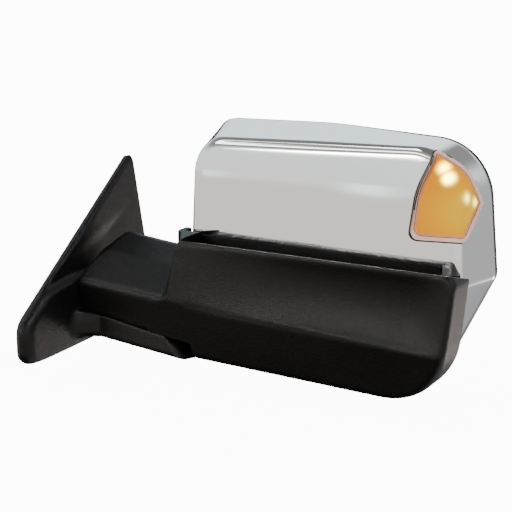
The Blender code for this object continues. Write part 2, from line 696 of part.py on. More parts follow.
def head_bracket(parent):
    bracket = cylinder("head_bracket", (FLIP_X, 5, FLIP_Z), (FLIP_X, 26, FLIP_Z), 24)
    unions = (
        box("bracket_arm", (195, 13, -20), (385, 20, 24)),
        box("bracket_pad", (203, 13.5, 10), (287, 19.5, 104)),
        box("spot_arm", (378, 13.5, 0), (400, 19.5, 76)),
    )
    for other in unions:
        combine(bracket, cutter(other), "UNION")
    for index, x in enumerate((225, 275, 325)):
        hole = cylinder(f"bracket_hole_{index}", (x, 5, 2), (x, 30, 2), 13, 20)
        combine(bracket, cutter(hole), "DIFFERENCE")
    bore = cylinder("head_bore", (FLIP_X, -5, FLIP_Z), (FLIP_X, 40, FLIP_Z), HUB_BORE, 24)
    combine(bracket, cutter(bore), "DIFFERENCE")
    finish(bracket, parent, CAST)


def head_hardware(parent):
    middle = (FLIP_X, 0, FLIP_Z)
    finish(ring("flip_bushing", 10.9, HUB_BORE - GAP, 5, 26, middle, "Y"), parent, NYLON)
    wave = [(20, 28.6), (20, 26.9), (11, 26.4), (11, 28.1)]
    finish(turned("flip_wave_washer", wave, middle, "Y", 20), parent, STEEL)
    finish(ring("flip_retainer", 12.5, 18, 29, 34, middle, "Y", 6), parent, STEEL)


def signal_lamp(parent):
    """Lens, seal, housing, board and lights, all layers of the head's own surface."""
    lens = head_solid("signal_lens", 0, HEAD_REAR)
    combine(lens, bpy.data.objects["head_hollow"], "DIFFERENCE")
    combine(lens, cutter(lens_prism("lens_edge", 1.8)), "INTERSECT")
    finish(lens, parent, AMBER, 30)

    seal = head_solid("signal_seal", 0.5, HEAD_REAR)
    combine(seal, bpy.data.objects["head_hollow"], "DIFFERENCE")
    combine(seal, cutter(lens_prism("seal_outer", 0.4)), "INTERSECT")
    combine(seal, cutter(lens_prism("seal_inner", 1.4)), "DIFFERENCE")
    finish(seal, parent, RUBBER, 30)

    housing = head_solid("signal_housing", WALL + 0.8, LAMP_REAR)
    scoop = cutter(lens_prism("lamp_scoop", 3.6))
    combine(scoop, cutter(head_solid("lamp_floor", 13, HEAD_REAR)), "DIFFERENCE")
    combine(housing, cutter(lens_prism("lamp_outer", 2)), "INTERSECT")
    combine(housing, scoop, "DIFFERENCE")
    combine(housing, cutter(head_solid("lamp_back", 15, HEAD_REAR)), "DIFFERENCE")
    finish(housing, parent, REFLECTOR, 30)

    board = head_solid("signal_board", 11, LAMP_REAR)
    combine(board, cutter(head_solid("board_back", 12.5, HEAD_REAR)), "DIFFERENCE")
    combine(board, cutter(lens_prism("board_edge", 5)), "INTERSECT")
    finish(board, parent, BOARD, 30)
    signal_leds(board, parent)


def signal_leds(board, parent):
    """Each light stands on the board, at the board's own surface."""
    bpy.context.view_layer.update()
    surface = BVHTree.FromObject(board, bpy.context.evaluated_depsgraph_get())
    across, up, outward = lens_axes()
    for number, (x, y) in enumerate(LED_SPOTS, 1):
        start = (Vector(LENS_POINT) + across * x + up * y + outward * 40) * MM
        spot = surface.ray_cast(start - board.matrix_world.translation, -outward)[0]
        base = (spot + board.matrix_world.translation) / MM + outward * (GAP + 2.6)
        led = cylinder(f"signal_led_{number}", base, base + outward * 2.2, 2.6, 12)
        finish(led, parent, LIGHT, 60)


def actuator(parent):
    low, high = (GLASS_X - 40, 21, GLASS_Z - 35), (GLASS_X + 40, 41, GLASS_Z + 35)
    housing = box("actuator_housing", low, high, 4)
    wall = 2
    inside = box("actuator_hollow", [edge + wall for edge in low], (high[0] - wall, 50, high[2] - wall))
    combine(housing, cutter(inside), "DIFFERENCE")
    finish(housing, parent, NYLON)

    corners = ((low[0], high[2]), (high[0], high[2]), (high[0], low[2]), (low[0], low[2]))
    outline = rounded([(*corner, 4) for corner in corners], 2)
    holes = [circle(spot, 5.4, 12) for spot in PLUNGERS.values()]
    cover = as_mesh(plate("actuator_cover", outline, holes, (0, 42.4, 0), 2.2, "Y"))
    post = [*BALL, (5, 43), (5, 42.5), (0, 42.5)]
    ball = turned("ball_post", post, (GLASS_X, 0, GLASS_Z), "Y", 20)
    combine(cover, cutter(ball), "UNION")
    finish(cover, parent, NYLON)

    for name, (x, z) in MOTORS.items():
        profile = [(0, 16), (9, 16), (9, -16), (2.5, -16), (2.5, -19), (4.2, -19), (4.2, -28), (0, -28)]
        finish(turned(name, profile, (x, 32, z), "Z", 20), parent, STEEL, 50)
    mount = [*BALL, (5, 42), (5, 26), (13, 24), (13, 19.8), (0, 19.8)]
    finish(turned("spotter_mount", mount, (SPOT_X, 0, GLASS_Z), "Y", 20), parent, NYLON, 50)


# ---------------------------------------------------------------- glasses
def glass_stack(opening, centre_x, names, parent):
    """Holder with its socket, then the pad and the glass that it carries."""
    outline = rounded(inset(opening, GLASS_MARGIN), 4)
    holder = as_mesh(plate(names["holder"], outline, [], (0, HOLDER_Y, 0), HOLDER_DEPTH, "Y"))
    wall = [(SOCKET, 57.5), (SOCKET, 47.6), (BALL_SPACE, 47.6), (BALL_SPACE, 57.5)]
    socket = turned(names["holder"] + "_socket", wall, (centre_x, 0, GLASS_Z), "Y", 20)
    ends = (centre_x, 40, GLASS_Z), (centre_x, 59, GLASS_Z)
    hollow = cylinder(names["holder"] + "_ball_space", *ends, BALL_SPACE, 20)
    combine(holder, cutter(socket), "UNION")
    combine(holder, cutter(hollow), "DIFFERENCE")
    finish(holder, parent, NYLON)
    front = HOLDER_Y + HOLDER_DEPTH / 2 + GAP
    if "pad" in names:
        pad = rounded(inset(opening, GLASS_MARGIN + 8), 4)
        finish(plate(names["pad"], pad, [], (0, PAD_Y, 0), PAD_DEPTH, "Y"), parent, BOARD)
        front = PAD_Y + PAD_DEPTH / 2 + GAP
    glass = rounded(inset(opening, GLASS_MARGIN + 0.5), 4)
    middle = (0, front + GLASS_DEPTH / 2, 0)
    finish(plate(names["glass"], glass, [], middle, GLASS_DEPTH, "Y"), parent, MIRROR)


def gimbal_ring(name, centre_x, parent):
    finish(ring(name, 15, 18.5, 47.7, 50.3, (centre_x, 0, GLASS_Z), "Y", 24), parent, NYLON)


def plunger(name, spot, parent):
    profile = [(0, 55.6), (3, 54.6), (4.8, 52), (4.8, 29), (3, 28), (0, 28)]
    finish(turned(name, profile, (spot[0], 0, spot[1]), "Y", 16), parent, NYLON, 50)


clear_scene()
PARTS = collection("car_side_mirror")
CUTTERS = collection("cutters")
BLACK = material("black_grained_plastic", (0.018, 0.017, 0.016), 0.42)
CHROME = material("chrome_plating", (0.78, 0.78, 0.77), 0.07, 1.0)
AMBER = material("amber_lens", (0.95, 0.42, 0.02), 0.12, emission=1.5)
REFLECTOR = material("lamp_reflector", (0.75, 0.72, 0.66), 0.2, 0.9)
LIGHT = material("signal_light", (1.0, 0.75, 0.3), 0.3, emission=8.0)
BOARD = material("circuit_board", (0.03, 0.12, 0.05), 0.6)
MIRROR = material("mirror_glass", (0.86, 0.87, 0.87), 0.02, 1.0)
CAST = material("cast_aluminium", (0.5, 0.5, 0.51), 0.5, 1.0)
STEEL = material("zinc_plated_steel", (0.55, 0.55, 0.56), 0.3, 1.0)
NYLON = material("black_nylon", (0.04, 0.04, 0.045), 0.55)
RUBBER = material("black_rubber", (0.02, 0.02, 0.02), 0.8)

base = axis_empty("base", (0, 0, 0))
arm = axis_empty("arm_fold_axis", (FOLD_X, FOLD_Y, 0), base)
head = axis_empty("head_flip_axis", (FLIP_X, 0, FLIP_Z), arm)
main_tilt = axis_empty("glass_tilt_axis", (GLASS_X, GLASS_Y, GLASS_Z), head)
main_pan = axis_empty("glass_pan_axis", (GLASS_X, GLASS_Y, GLASS_Z), main_tilt)
spot_tilt = axis_empty("spotter_tilt_axis", (SPOT_X, GLASS_Y, GLASS_Z), head)
spot_pan = axis_empty("spotter_pan_axis", (SPOT_X, GLASS_Y, GLASS_Z), spot_tilt)

base_cover(base)
base_bracket(base)
base_gasket(base)
base_hardware(base)
arm_front_cover(arm)
arm_rear_cover(arm)
arm_frame(arm)
fold_spring(arm)
arm_hardware(arm)
head_covers(head)
head_bezel(head)
head_bracket(head)
head_hardware(head)
signal_lamp(head)
actuator(head)
gimbal_ring("glass_gimbal", GLASS_X, main_tilt)
gimbal_ring("spotter_gimbal", SPOT_X, spot_tilt)
for plunger_name, plunger_spot in PLUNGERS.items():
    plunger(plunger_name, plunger_spot, head)
MAIN_NAMES = {"holder": "glass_holder", "pad": "heater_pad", "glass": "main_glass"}
SPOT_NAMES = {"holder": "spotter_holder", "glass": "spotter_glass"}
glass_stack(MAIN_OPENING, GLASS_X, MAIN_NAMES, main_pan)
glass_stack(SPOT_OPENING, SPOT_X, SPOT_NAMES, spot_pan)
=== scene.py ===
"""The look of the flip-up towing mirror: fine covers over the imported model, materials, studio and camera.

Lengths are in millimetres and become metres when a mesh is made. +X points away from the door, -Y to the
front of the vehicle, +Z up.
"""

import json
import math

import bmesh
import bpy
from mathutils import Matrix, Vector


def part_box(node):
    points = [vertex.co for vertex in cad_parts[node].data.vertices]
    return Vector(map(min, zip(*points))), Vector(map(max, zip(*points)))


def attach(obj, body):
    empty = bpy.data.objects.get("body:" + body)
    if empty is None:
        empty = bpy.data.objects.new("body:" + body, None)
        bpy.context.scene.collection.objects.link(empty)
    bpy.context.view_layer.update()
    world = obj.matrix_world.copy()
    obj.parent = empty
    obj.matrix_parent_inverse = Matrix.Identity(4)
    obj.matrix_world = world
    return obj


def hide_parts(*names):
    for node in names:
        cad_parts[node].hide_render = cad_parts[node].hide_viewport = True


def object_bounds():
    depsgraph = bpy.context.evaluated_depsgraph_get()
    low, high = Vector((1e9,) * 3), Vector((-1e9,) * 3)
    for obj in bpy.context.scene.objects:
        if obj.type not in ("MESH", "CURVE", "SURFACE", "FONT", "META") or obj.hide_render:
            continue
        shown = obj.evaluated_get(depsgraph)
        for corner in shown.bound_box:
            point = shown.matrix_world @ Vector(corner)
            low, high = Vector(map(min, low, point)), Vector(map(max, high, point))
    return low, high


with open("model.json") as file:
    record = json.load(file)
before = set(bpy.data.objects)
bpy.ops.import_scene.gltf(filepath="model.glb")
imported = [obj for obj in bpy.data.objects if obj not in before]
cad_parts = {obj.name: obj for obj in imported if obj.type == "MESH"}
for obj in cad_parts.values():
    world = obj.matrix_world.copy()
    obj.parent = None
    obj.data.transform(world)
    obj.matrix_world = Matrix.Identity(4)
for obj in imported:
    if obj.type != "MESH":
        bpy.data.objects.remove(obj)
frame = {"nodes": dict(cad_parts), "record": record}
CAD_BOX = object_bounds()

MM = 0.001

# Joint axes, as in the CAD model
FOLD_X, FOLD_Y = 80.0, 15.0
FOLD_TILT = 8.0
FLIP_X, FLIP_Z = 375.0, 2.0
WALL = 2.5
BEYOND = 5.0  # how far a cutter runs past what it cuts

# Base: a sail-shaped plate with a foot. Its outline is (y, z, corner radius), clockwise
SAIL_CORNERS = ((80, 130, 4), (124, -64.5, 14), (-122.5, -64.5, 13), (-122.5, -21.5, 22))
SAIL_CENTRE = (12.0, -40.0)  # the (y, z) that the sail's rings are drawn round
SAIL_BACK_X, SAIL_EDGE_X = 3.3, 6.0  # the straight rim's door side and outer side
UPPER_X, VALLEY_X, LOBE_X = 10.5, 8.6, 16.0  # how far each part of the sail stands off the door
LOBE_LINE, LOBE_FADE = ((-100, 4), (-38, 12)), 5.0  # (y, z) line along the top of the lobe
VALLEY_LINE, VALLEY_FADE = ((-60, 27), (60, 62)), 9.0  # (y, z) line where the upper triangle starts
REAR_FADE = (20, 70)  # towards the rear all of it becomes as thick as the triangle
SAIL_ROUNDING = 0.75  # height over width of the rounding along the rim
RING_POINTS = 200
FLARE_REACH, FLARE_SHARE = 24.0, 0.25  # how far the sail flares into the foot, over which share of the way
FOOT_START_X, FOOT_END_X = 37.5, 156.0
FOOT_FRONT, FOOT_REAR = -30.0, 62.0
FOOT_BOTTOM, FOOT_SLOPE = -52.5, -0.09
FOOT_TIP_RADIUS = 84.0
SEAM, SEAM_GAP = -33.0, 0.8  # height of the joint between foot and arm, along the folding axis
SEAM_RADIUS, SEAM_DROP = 64.0, 1.16  # outside this radius the joint slopes down
SWING_RADIUS = 62.5  # the arm's rear stays inside this radius, to pass the sail
SWING_GAP = 2.0
TOWER_MOUTH = ((0, -20), (27.5, -20), (27.5, -44), (0, -44))  # (radius, height) along the folding axis
BASE_VOXEL, BASE_ROUNDS = 1.3, 5  # fineness and amount of the rounding
BASE_GROW = 0.5  # makes up for what the rounding takes off

# Arm
NECK_START_X, NECK_REAR, NECK_END_RADIUS = 15.5, 46.0, 44.0
PADDLE_CORNERS = ((139, 68, 9), (440, 68, 13), (427, -67.5, 68), (98, -58.5, 4), (98, -4, 3), (124, 6, 10))
PADDLE_REAR = 6.0
PADDLE_TOP, PADDLE_BOTTOM = 68.0, -62.0
PADDLE_TOP_FRONT, PADDLE_BOTTOM_FRONT, RIDGE_FRONT = -33.0, -26.0, -38.5
PADDLE_EDGE = 7.0
RIDGE = ((16, 10.5), (110, 5.5), (190, -2), (410, -10.5))
SPINE_START_X, SPINE_END_X = 150.0, 400.0
SCOOP = 8.0  # depth of the hollow above the ridge
SCOOP_INBOARD, SCOOP_OUTBOARD = (110, 330), (448, 395)  # where it fades in from each end
GROOVE_X = (144, 455)  # the shelf cut along the top of the arm
GROOVE = ((-31, 65.8), (10, 55), (10, 84), (-31, 84))
SHELF_END = ((141, -28), (126, -4), (117.5, 4), (117.5, 21),
             (125.5, 21), (125.5, 5.8), (145, 5.8), (145, -28))
SHELF_END_BOTTOM, SHELF_END_TOP = 36.0, 68.0  # a small block at its inboard end
ARM_VOXEL, ARM_ROUNDS = 1.4, 6  # fineness and amount of the rounding
ARM_WALL = WALL + 0.6

# Head: outlines at its front and rear as (x, z, corner radius), clockwise
HEAD_FRONT, HEAD_REAR = 7.0, 62.0
HEAD_FRONT_CORNERS = ((130, 163, 36), (265, 168, 600), (420, 175, 50),
                      (430, 46, 12), (386, -46, 20), (130, -46, 40))
HEAD_REAR_CORNERS = ((134, 179.5, 20), (265, 183, 600), (432, 175, 60),
                     (444.5, 46, 14), (397, -53, 22), (130, -53, 44))
HEAD_EDGE_RADIUS = 9.0
HEAD_CENTRE = (262, 88)  # where the rings of the front face close
CREASE_Z, CREASE_SOFT = 132.0, 3.0  # a soft crease across the front face
LOWER_LEAN, UPPER_LEAN = 0.08, 0.18  # how much the face leans back below and above it
CHROME_BOTTOM, CHROME_SIDE_X = 66.0, 411.0
COVER_GAP = 0.6  # between chrome cap and lower cover
COVER_EDGE = 0.8
FLIP_MOUTH = ((0, 20), (30, 20), (30, 0), (0, 0))  # (radius, depth) along the flip axis
MAIN_OPENING = ((139, 170, 20), (342, 171, 8), (342, -44, 8), (141, -44, 34))
SPOT_OPENING = ((352, 170, 8), (424, 167, 50), (434.5, 46, 8), (391, -44, 14), (352, -44, 8))
GLASS_MARGIN = 4.0
BEZEL_Y, BEZEL_EDGE, BEZEL_INSET = (62.5, 71.1), 1.6, 0.5
MAIN_GLASS_Y, GLASS_EDGE = (61.6, 63.6), 0.6
SPOT_GLASS_Y, SPOT_CROWN = (60.7, 61.9, 62.2), 2.0  # rear, edge and start of the convex face

# Lens: its outline is seen along the way it faces, as (across, up, corner radius), clockwise
LENS_POINT = (424, 20, 125)
LENS_AZIMUTH, LENS_TILT = 29.5, 14.0  # outboard of the front, and up
LENS_CORNERS = ((-25, 53, 6), (8, 32, 40), (24, 0, 6), (4, -39, 10), (-50, -35, 13), (-44, 12, 80))
LENS_DEPTH = (-32, 40)  # reach of its cutter, rear and front
LENS_HOLE_INSET = 0.6
LENS_PROUD = 0.6
LENS_RINGS = (("lens_middle", 7.0, None, "amber"), ("lens_inner_rim", 4.9, 7.0, "lens_edge"),
              ("lens_outer_rim", 0.7, 4.4, "lens_rim"))  # name, drawn in from, to, look
# Painted light: the lens's emission stands in for the lit lights shining through it, as a broad glow and a
# hot spot over each light.
GLOW_OFFSET = (-2, 0, -8)  # where the painted glow is brightest, from the lens's middle
GLOW_REACH = (48, 12)  # distances where the painted glow ends and where it is full
HOT_REACH = (12, 5)  # the same for the painted hot spot round each light
# the lights that get a painted hot spot on the lens
LIT_LIGHTS = (1, 2, 4, 5)

# Stage, in metres
FLOOR_HALF, FLOOR_DROP, FLOOR_GLOW = 14.0, 0.02, 12.0
CAMERA_TARGET = (0.213, 0.0015, 0.0515)
CAMERA_DISTANCE = 1.313
CAMERA_AZIMUTH, CAMERA_ELEVATION = 29.5, 14.0
SENSOR, FOCAL_LENGTH = 36.0, 36 * 1300 / 512  # both in millimetres


# ---------------------------------------------------------------- outlines
def rounded(corners, steps=10, spacing=1):
    """Points of a closed outline whose corners are (x, y, radius), with its straight runs cut up too."""
    points = []
    for index, (x, y, radius) in enumerate(corners):
        here = Vector((x, y))
        back = (Vector(corners[index - 1][:2]) - here).normalized()
        ahead = (Vector(corners[(index + 1) % len(corners)][:2]) - here).normalized()
        half = back.angle(ahead) / 2
        centre = here + (back + ahead).normalized() * (radius / math.sin(half))
        start = here + back * (radius / math.tan(half)) - centre
        end = here + ahead * (radius / math.tan(half)) - centre
        sweep = start.angle_signed(end)
        points += [centre + Matrix.Rotation(-sweep * step / steps, 2) @ start for step in range(steps + 1)]
    filled = []
    for index, point in enumerate(points):
        after = points[(index + 1) % len(points)]
        cuts = spacing if (index + 1) % (steps + 1) == 0 else 1
        filled += [point.lerp(after, cut / cuts) for cut in range(cuts)]
    return filled


def inset(corners, distance):
    """The corners of the same clockwise outline, drawn in by a distance."""
    moved = []
    for index, (x, y, radius) in enumerate(corners):
        here = Vector((x, y))
        back = (here - Vector(corners[index - 1][:2])).normalized()
        ahead = (Vector(corners[(index + 1) % len(corners)][:2]) - here).normalized()
        inward = Vector((back.y, -back.x)) + Vector((ahead.y, -ahead.x))
        spot = here + inward.normalized() * (distance * 2 / inward.length)
        moved.append((spot.x, spot.y, max(radius - distance, 0.5)))
    return moved


def blend_corners(first, second, share):
    """The outline a share of the way from the first to the second."""
    return [tuple(a + (b - a) * share for a, b in zip(p, q)) for p, q in zip(first, second)]


def ray_point(outline, centre, angle):
    """Where a ray from the centre crosses a closed outline."""
    heading = Vector((math.cos(angle), math.sin(angle)))
    far = centre + heading * 1000
    for first, second in zip(outline, outline[1:] + outline[:1]):
        hit = intersect(centre, far, first, second)
        if hit is not None:
            return hit
    return far


def intersect(start, end, first, second):
    """Where the line from start to end crosses the side from first to second, or None."""
    along, side = end - start, second - first
    cross = along.x * side.y - along.y * side.x
    if abs(cross) < 1e-9:
        return None
    offset = first - start
    share = (offset.x * side.y - offset.y * side.x) / cross
    across = (offset.x * along.y - offset.y * along.x) / cross
    inside = 0 <= share <= 1 and -1e-6 <= across <= 1 + 1e-6
    return start + along * share if inside else None


def interpolate(points, at):
    """Height at a place along a line through (place, height) points."""
    for (start, low), (end, high) in zip(points, points[1:]):
        if at <= end:
            return low + (high - low) * (max(at, start) - start) / (end - start)
    return points[-1][1]


def smoothstep(low, high, value):
    """Zero at low, one at high, with a soft start and end."""
    share = min(max((value - low) / (high - low), 0), 1)
    return share * share * (3 - 2 * share)


# ---------------------------------------------------------------- mesh helpers
def link(name, source):
    """A named object in the scene from a mesh, or from a bmesh whose faces it first turns outward."""
    mesh = source
    if isinstance(source, bmesh.types.BMesh):
        bmesh.ops.recalc_face_normals(source, faces=source.faces)
        mesh = bpy.data.meshes.new(name)
        source.to_mesh(mesh)
        source.free()
    obj = bpy.data.objects.new(name, mesh)
    bpy.context.scene.collection.objects.link(obj)
    return obj


def apply_modifiers(obj):
    """Makes the modifiers' result the object's own mesh."""
    bpy.context.view_layer.update()
    graph = bpy.context.evaluated_depsgraph_get()
    mesh = bpy.data.meshes.new_from_object(obj.evaluated_get(graph))
    obj.modifiers.clear()
    obj.data = mesh
    return obj


def smooth(obj, angle=32):
    """Smooth shading that leaves edges sharper than this many degrees."""
    obj.data.shade_smooth()
    obj.data.set_sharp_from_angle(angle=math.radians(angle))
    return obj


def rings_surface(rings, centre=None):
    """Quads through closed rings of equal length. A centre point closes the last ring with a fan."""
    bm = bmesh.new()
    rows = [[bm.verts.new(Vector(point) * MM) for point in ring] for ring in rings]
    for first, second in zip(rows, rows[1:]):
        for index in range(len(first)):
            bm.faces.new((first[index - 1], first[index], second[index], second[index - 1]))
    if centre is not None:
        tip = bm.verts.new(Vector(centre) * MM)
        for index in range(len(rows[-1])):
            bm.faces.new((rows[-1][index - 1], rows[-1][index], tip))
    bmesh.ops.recalc_face_normals(bm, faces=bm.faces)
    return bm


def solid_of_rings(name, rings):
    """A closed solid through rings, with a flat cap on each end."""
    bm = rings_surface(rings)
    bmesh.ops.holes_fill(bm, edges=[edge for edge in bm.edges if edge.is_boundary])
    return link(name, bm)


def box(name, low, high):
    """A box between two opposite corners."""
    bm = bmesh.new()
    bmesh.ops.create_cube(bm, size=1)
    size = Vector(high) - Vector(low)
    middle = (Vector(high) + Vector(low)) / 2
    for vert in bm.verts:
        vert.co = Vector(a * b + c for a, b, c in zip(vert.co, size, middle)) * MM
    return link(name, bm)


def revolve(name, profile, place, steps=64):
    """A turned solid. The profile of (radius, height) starts and ends on the axis, or closes on itself."""
    bm = bmesh.new()
    rows = []
    for radius, height in profile:
        turns = steps if radius > 0 else 1
        angles = [2 * math.pi * index / turns for index in range(turns)]
        spots = [Vector((radius * math.cos(angle), radius * math.sin(angle), height)) for angle in angles]
        rows.append([bm.verts.new((place @ spot) * MM) for spot in spots])
    if profile[0][0] > 0:
        rows.append(rows[0])
    for first, second in zip(rows, rows[1:]):
        for index in range(steps):
            low, high = (index - 1) % steps, index
            spots = (first[low % len(first)], first[high % len(first)],
                     second[high % len(second)], second[low % len(second)])
            bm.faces.new(list(dict.fromkeys(spots)))
    return link(name, bm)


def carve(obj, *others, operation="DIFFERENCE"):
    """Cuts the other solids out of this one, or joins them to it, and removes them."""
    for other in others:
        step = obj.modifiers.new("step", "BOOLEAN")
        step.operation = operation
        step.object = other
        step.solver = "MANIFOLD"
        apply_modifiers(obj)
        bpy.data.objects.remove(other)
    return obj


def soften(obj, voxel, rounds):
    """Rebuilds a solid in small even faces and rounds its creases."""
    remesh = obj.modifiers.new("remesh", "REMESH")
    remesh.mode = "VOXEL"
    remesh.voxel_size = voxel * MM
    relax = obj.modifiers.new("relax", "SMOOTH")
    relax.factor = 0.5
    relax.iterations = rounds
    return apply_modifiers(obj)


def round_edges(obj, width, segments=2, angle=40):
    """A small bevel on every edge sharper than this many degrees."""
    bevel = obj.modifiers.new("edges", "BEVEL")
    bevel.width = width * MM
    bevel.segments = segments
    bevel.limit_method = "ANGLE"
    bevel.angle_limit = math.radians(angle)
    bevel.harden_normals = True
    return obj


def plate(name, outline, holes, low, high, edge):
    """A plate between two depths along Y, with rounded edges. Outlines are (x, z)."""
    curve = bpy.data.curves.new(name, "CURVE")
    curve.dimensions = "2D"
    curve.fill_mode = "BOTH"
    curve.extrude = ((high - low) / 2 - edge) * MM
    curve.bevel_depth = edge * MM
    curve.offset = -edge * MM
    curve.bevel_resolution = 2
    for loop in (outline, *holes):
        spline = curve.splines.new("POLY")
        spline.points.add(len(loop) - 1)
        spline.use_cyclic_u = True
        for dot, (across, up) in zip(spline.points, loop):
            dot.co = (across * MM, up * MM, 0, 1)
    obj = bpy.data.objects.new(name, curve)
    bpy.context.scene.collection.objects.link(obj)
    bpy.context.view_layer.update()
    mesh = bpy.data.meshes.new_from_object(obj.evaluated_get(bpy.context.evaluated_depsgraph_get()))
    bpy.data.objects.remove(obj)
    mesh.transform(Matrix.Rotation(math.pi / 2, 4, "X"))
    mesh.transform(Matrix.Translation((0, (low + high) / 2 * MM, 0)))
    made = link(name, mesh)
    weld = made.modifiers.new("weld", "WELD")
    weld.merge_threshold = 0.00001
    smooth(apply_modifiers(made), 50)
    made.modifiers.new("flat_face", "WEIGHTED_NORMAL").weight = 100
    return apply_modifiers(made)


# ---------------------------------------------------------------- materials
def new_material(name):
    """A material with its node tree and its main shader."""
    made = bpy.data.materials.new(name)
    made.use_nodes = True
    tree = made.node_tree
    return made, tree, tree.nodes["Principled BSDF"]


def node(tree, kind, **values):
    """A node of the tree. Each value sets an input of that name, or else a property."""
    made = tree.nodes.new(kind)
    for key, value in values.items():
        if key in made.inputs:
            made.inputs[key].default_value = value
        else:
            setattr(made, key, value)
    return made


def varied(name, dark, light, rough, cloud_scale, grain_scale=None, grain=0.2, metallic=0.0):
    """A surface whose colour and roughness drift in soft clouds, over a fine grain."""
    made, tree, shader = new_material(name)
    place = tree.nodes.new("ShaderNodeTexCoord")
    cloud = node(tree, "ShaderNodeTexNoise", Scale=cloud_scale, Detail=5.0)
    tint = tree.nodes.new("ShaderNodeValToRGB")
    tint.color_ramp.elements[0].color = (*dark, 1)
    tint.color_ramp.elements[0].position = 0.3
    tint.color_ramp.elements[1].color = (*light, 1)
    tint.color_ramp.elements[1].position = 0.7
    shine = node(tree, "ShaderNodeMapRange")
    shine.inputs["To Min"].default_value, shine.inputs["To Max"].default_value = rough
    tree.links.new(place.outputs["Object"], cloud.inputs["Vector"])
    tree.links.new(cloud.outputs["Fac"], tint.inputs["Fac"])
    tree.links.new(cloud.outputs["Fac"], shine.inputs["Value"])
    tree.links.new(tint.outputs["Color"], shader.inputs["Base Color"])
    tree.links.new(shine.outputs["Result"], shader.inputs["Roughness"])
    shader.inputs["Metallic"].default_value = metallic
    if grain_scale:
        cells = node(tree, "ShaderNodeTexVoronoi", feature="SMOOTH_F1", Scale=grain_scale)
        bump = node(tree, "ShaderNodeBump", Strength=grain, Distance=0.0004)
        tree.links.new(place.outputs["Object"], cells.inputs["Vector"])
        tree.links.new(cells.outputs["Distance"], bump.inputs["Height"])
        tree.links.new(bump.outputs["Normal"], shader.inputs["Normal"])
    return made


def black_plastic():
    """Black moulded plastic with a fine leather-like grain and a subdued satin sheen."""
    dark, light = (0.0022, 0.002, 0.0019), (0.004, 0.0037, 0.0035)
    made = varied("black_plastic", dark, light, (0.31, 0.40), 14.0, 900.0, 0.7)
    made.node_tree.nodes["Principled BSDF"].inputs["Specular IOR Level"].default_value = 0.25
    return made


def machined(name, colour, rough, scale):
    """Turned steel: fine circular tool marks and slight tarnish."""
    made = varied(name, [0.7 * part for part in colour], colour, rough, 60.0, metallic=1.0)
    tree = made.node_tree
    place = tree.nodes["Texture Coordinate"]
    marks = node(tree, "ShaderNodeTexNoise", Scale=scale, Detail=2.0)
    squeeze = tree.nodes.new("ShaderNodeMapping")
    squeeze.inputs["Scale"].default_value = (1, 1, 14)
    bump = node(tree, "ShaderNodeBump", Strength=0.12, Distance=0.0002)
    tree.links.new(place.outputs["Object"], squeeze.inputs["Vector"])
    tree.links.new(squeeze.outputs["Vector"], marks.inputs["Vector"])
    tree.links.new(marks.outputs["Fac"], bump.inputs["Height"])
    tree.links.new(bump.outputs["Normal"], tree.nodes["Principled BSDF"].inputs["Normal"])
    return made


def chrome_plating():
    """Mirror-bright plating with the faintest waviness and haze."""
    made = varied("chrome", (0.80, 0.80, 0.79), (0.83, 0.83, 0.83), (0.05, 0.09), 9.0, metallic=1.0)
    tree = made.node_tree
    wave = node(tree, "ShaderNodeTexNoise", Scale=11.0, Detail=1.0)
    bump = node(tree, "ShaderNodeBump", Strength=0.05, Distance=0.002)
    tree.links.new(tree.nodes["Texture Coordinate"].outputs["Object"], wave.inputs["Vector"])
    tree.links.new(wave.outputs["Fac"], bump.inputs["Height"])
    tree.links.new(bump.outputs["Normal"], tree.nodes["Principled BSDF"].inputs["Normal"])
    return made


def nearness(tree, place, point, far, near):
    """A value that grows from none at the far distance from a point to one at the near distance."""
    distance = node(tree, "ShaderNodeVectorMath", operation="DISTANCE")
    distance.inputs[1].default_value = point
    reach = tree.nodes.new("ShaderNodeMapRange")
    reach.inputs["From Min"].default_value = far * MM
    reach.inputs["From Max"].default_value = near * MM
    tree.links.new(place, distance.inputs[0])
    tree.links.new(distance.outputs["Value"], reach.inputs["Value"])
    return reach.outputs["Result"]


def arithmetic(tree, operation, *values):
    """A Math node. Each value is another node's output or a plain number."""
    made = node(tree, "ShaderNodeMath", operation=operation)
    for socket, value in zip(made.inputs, values):
        if isinstance(value, (int, float)):
            socket.default_value = value
        else:
            tree.links.new(value, socket)
    return made.outputs["Value"]


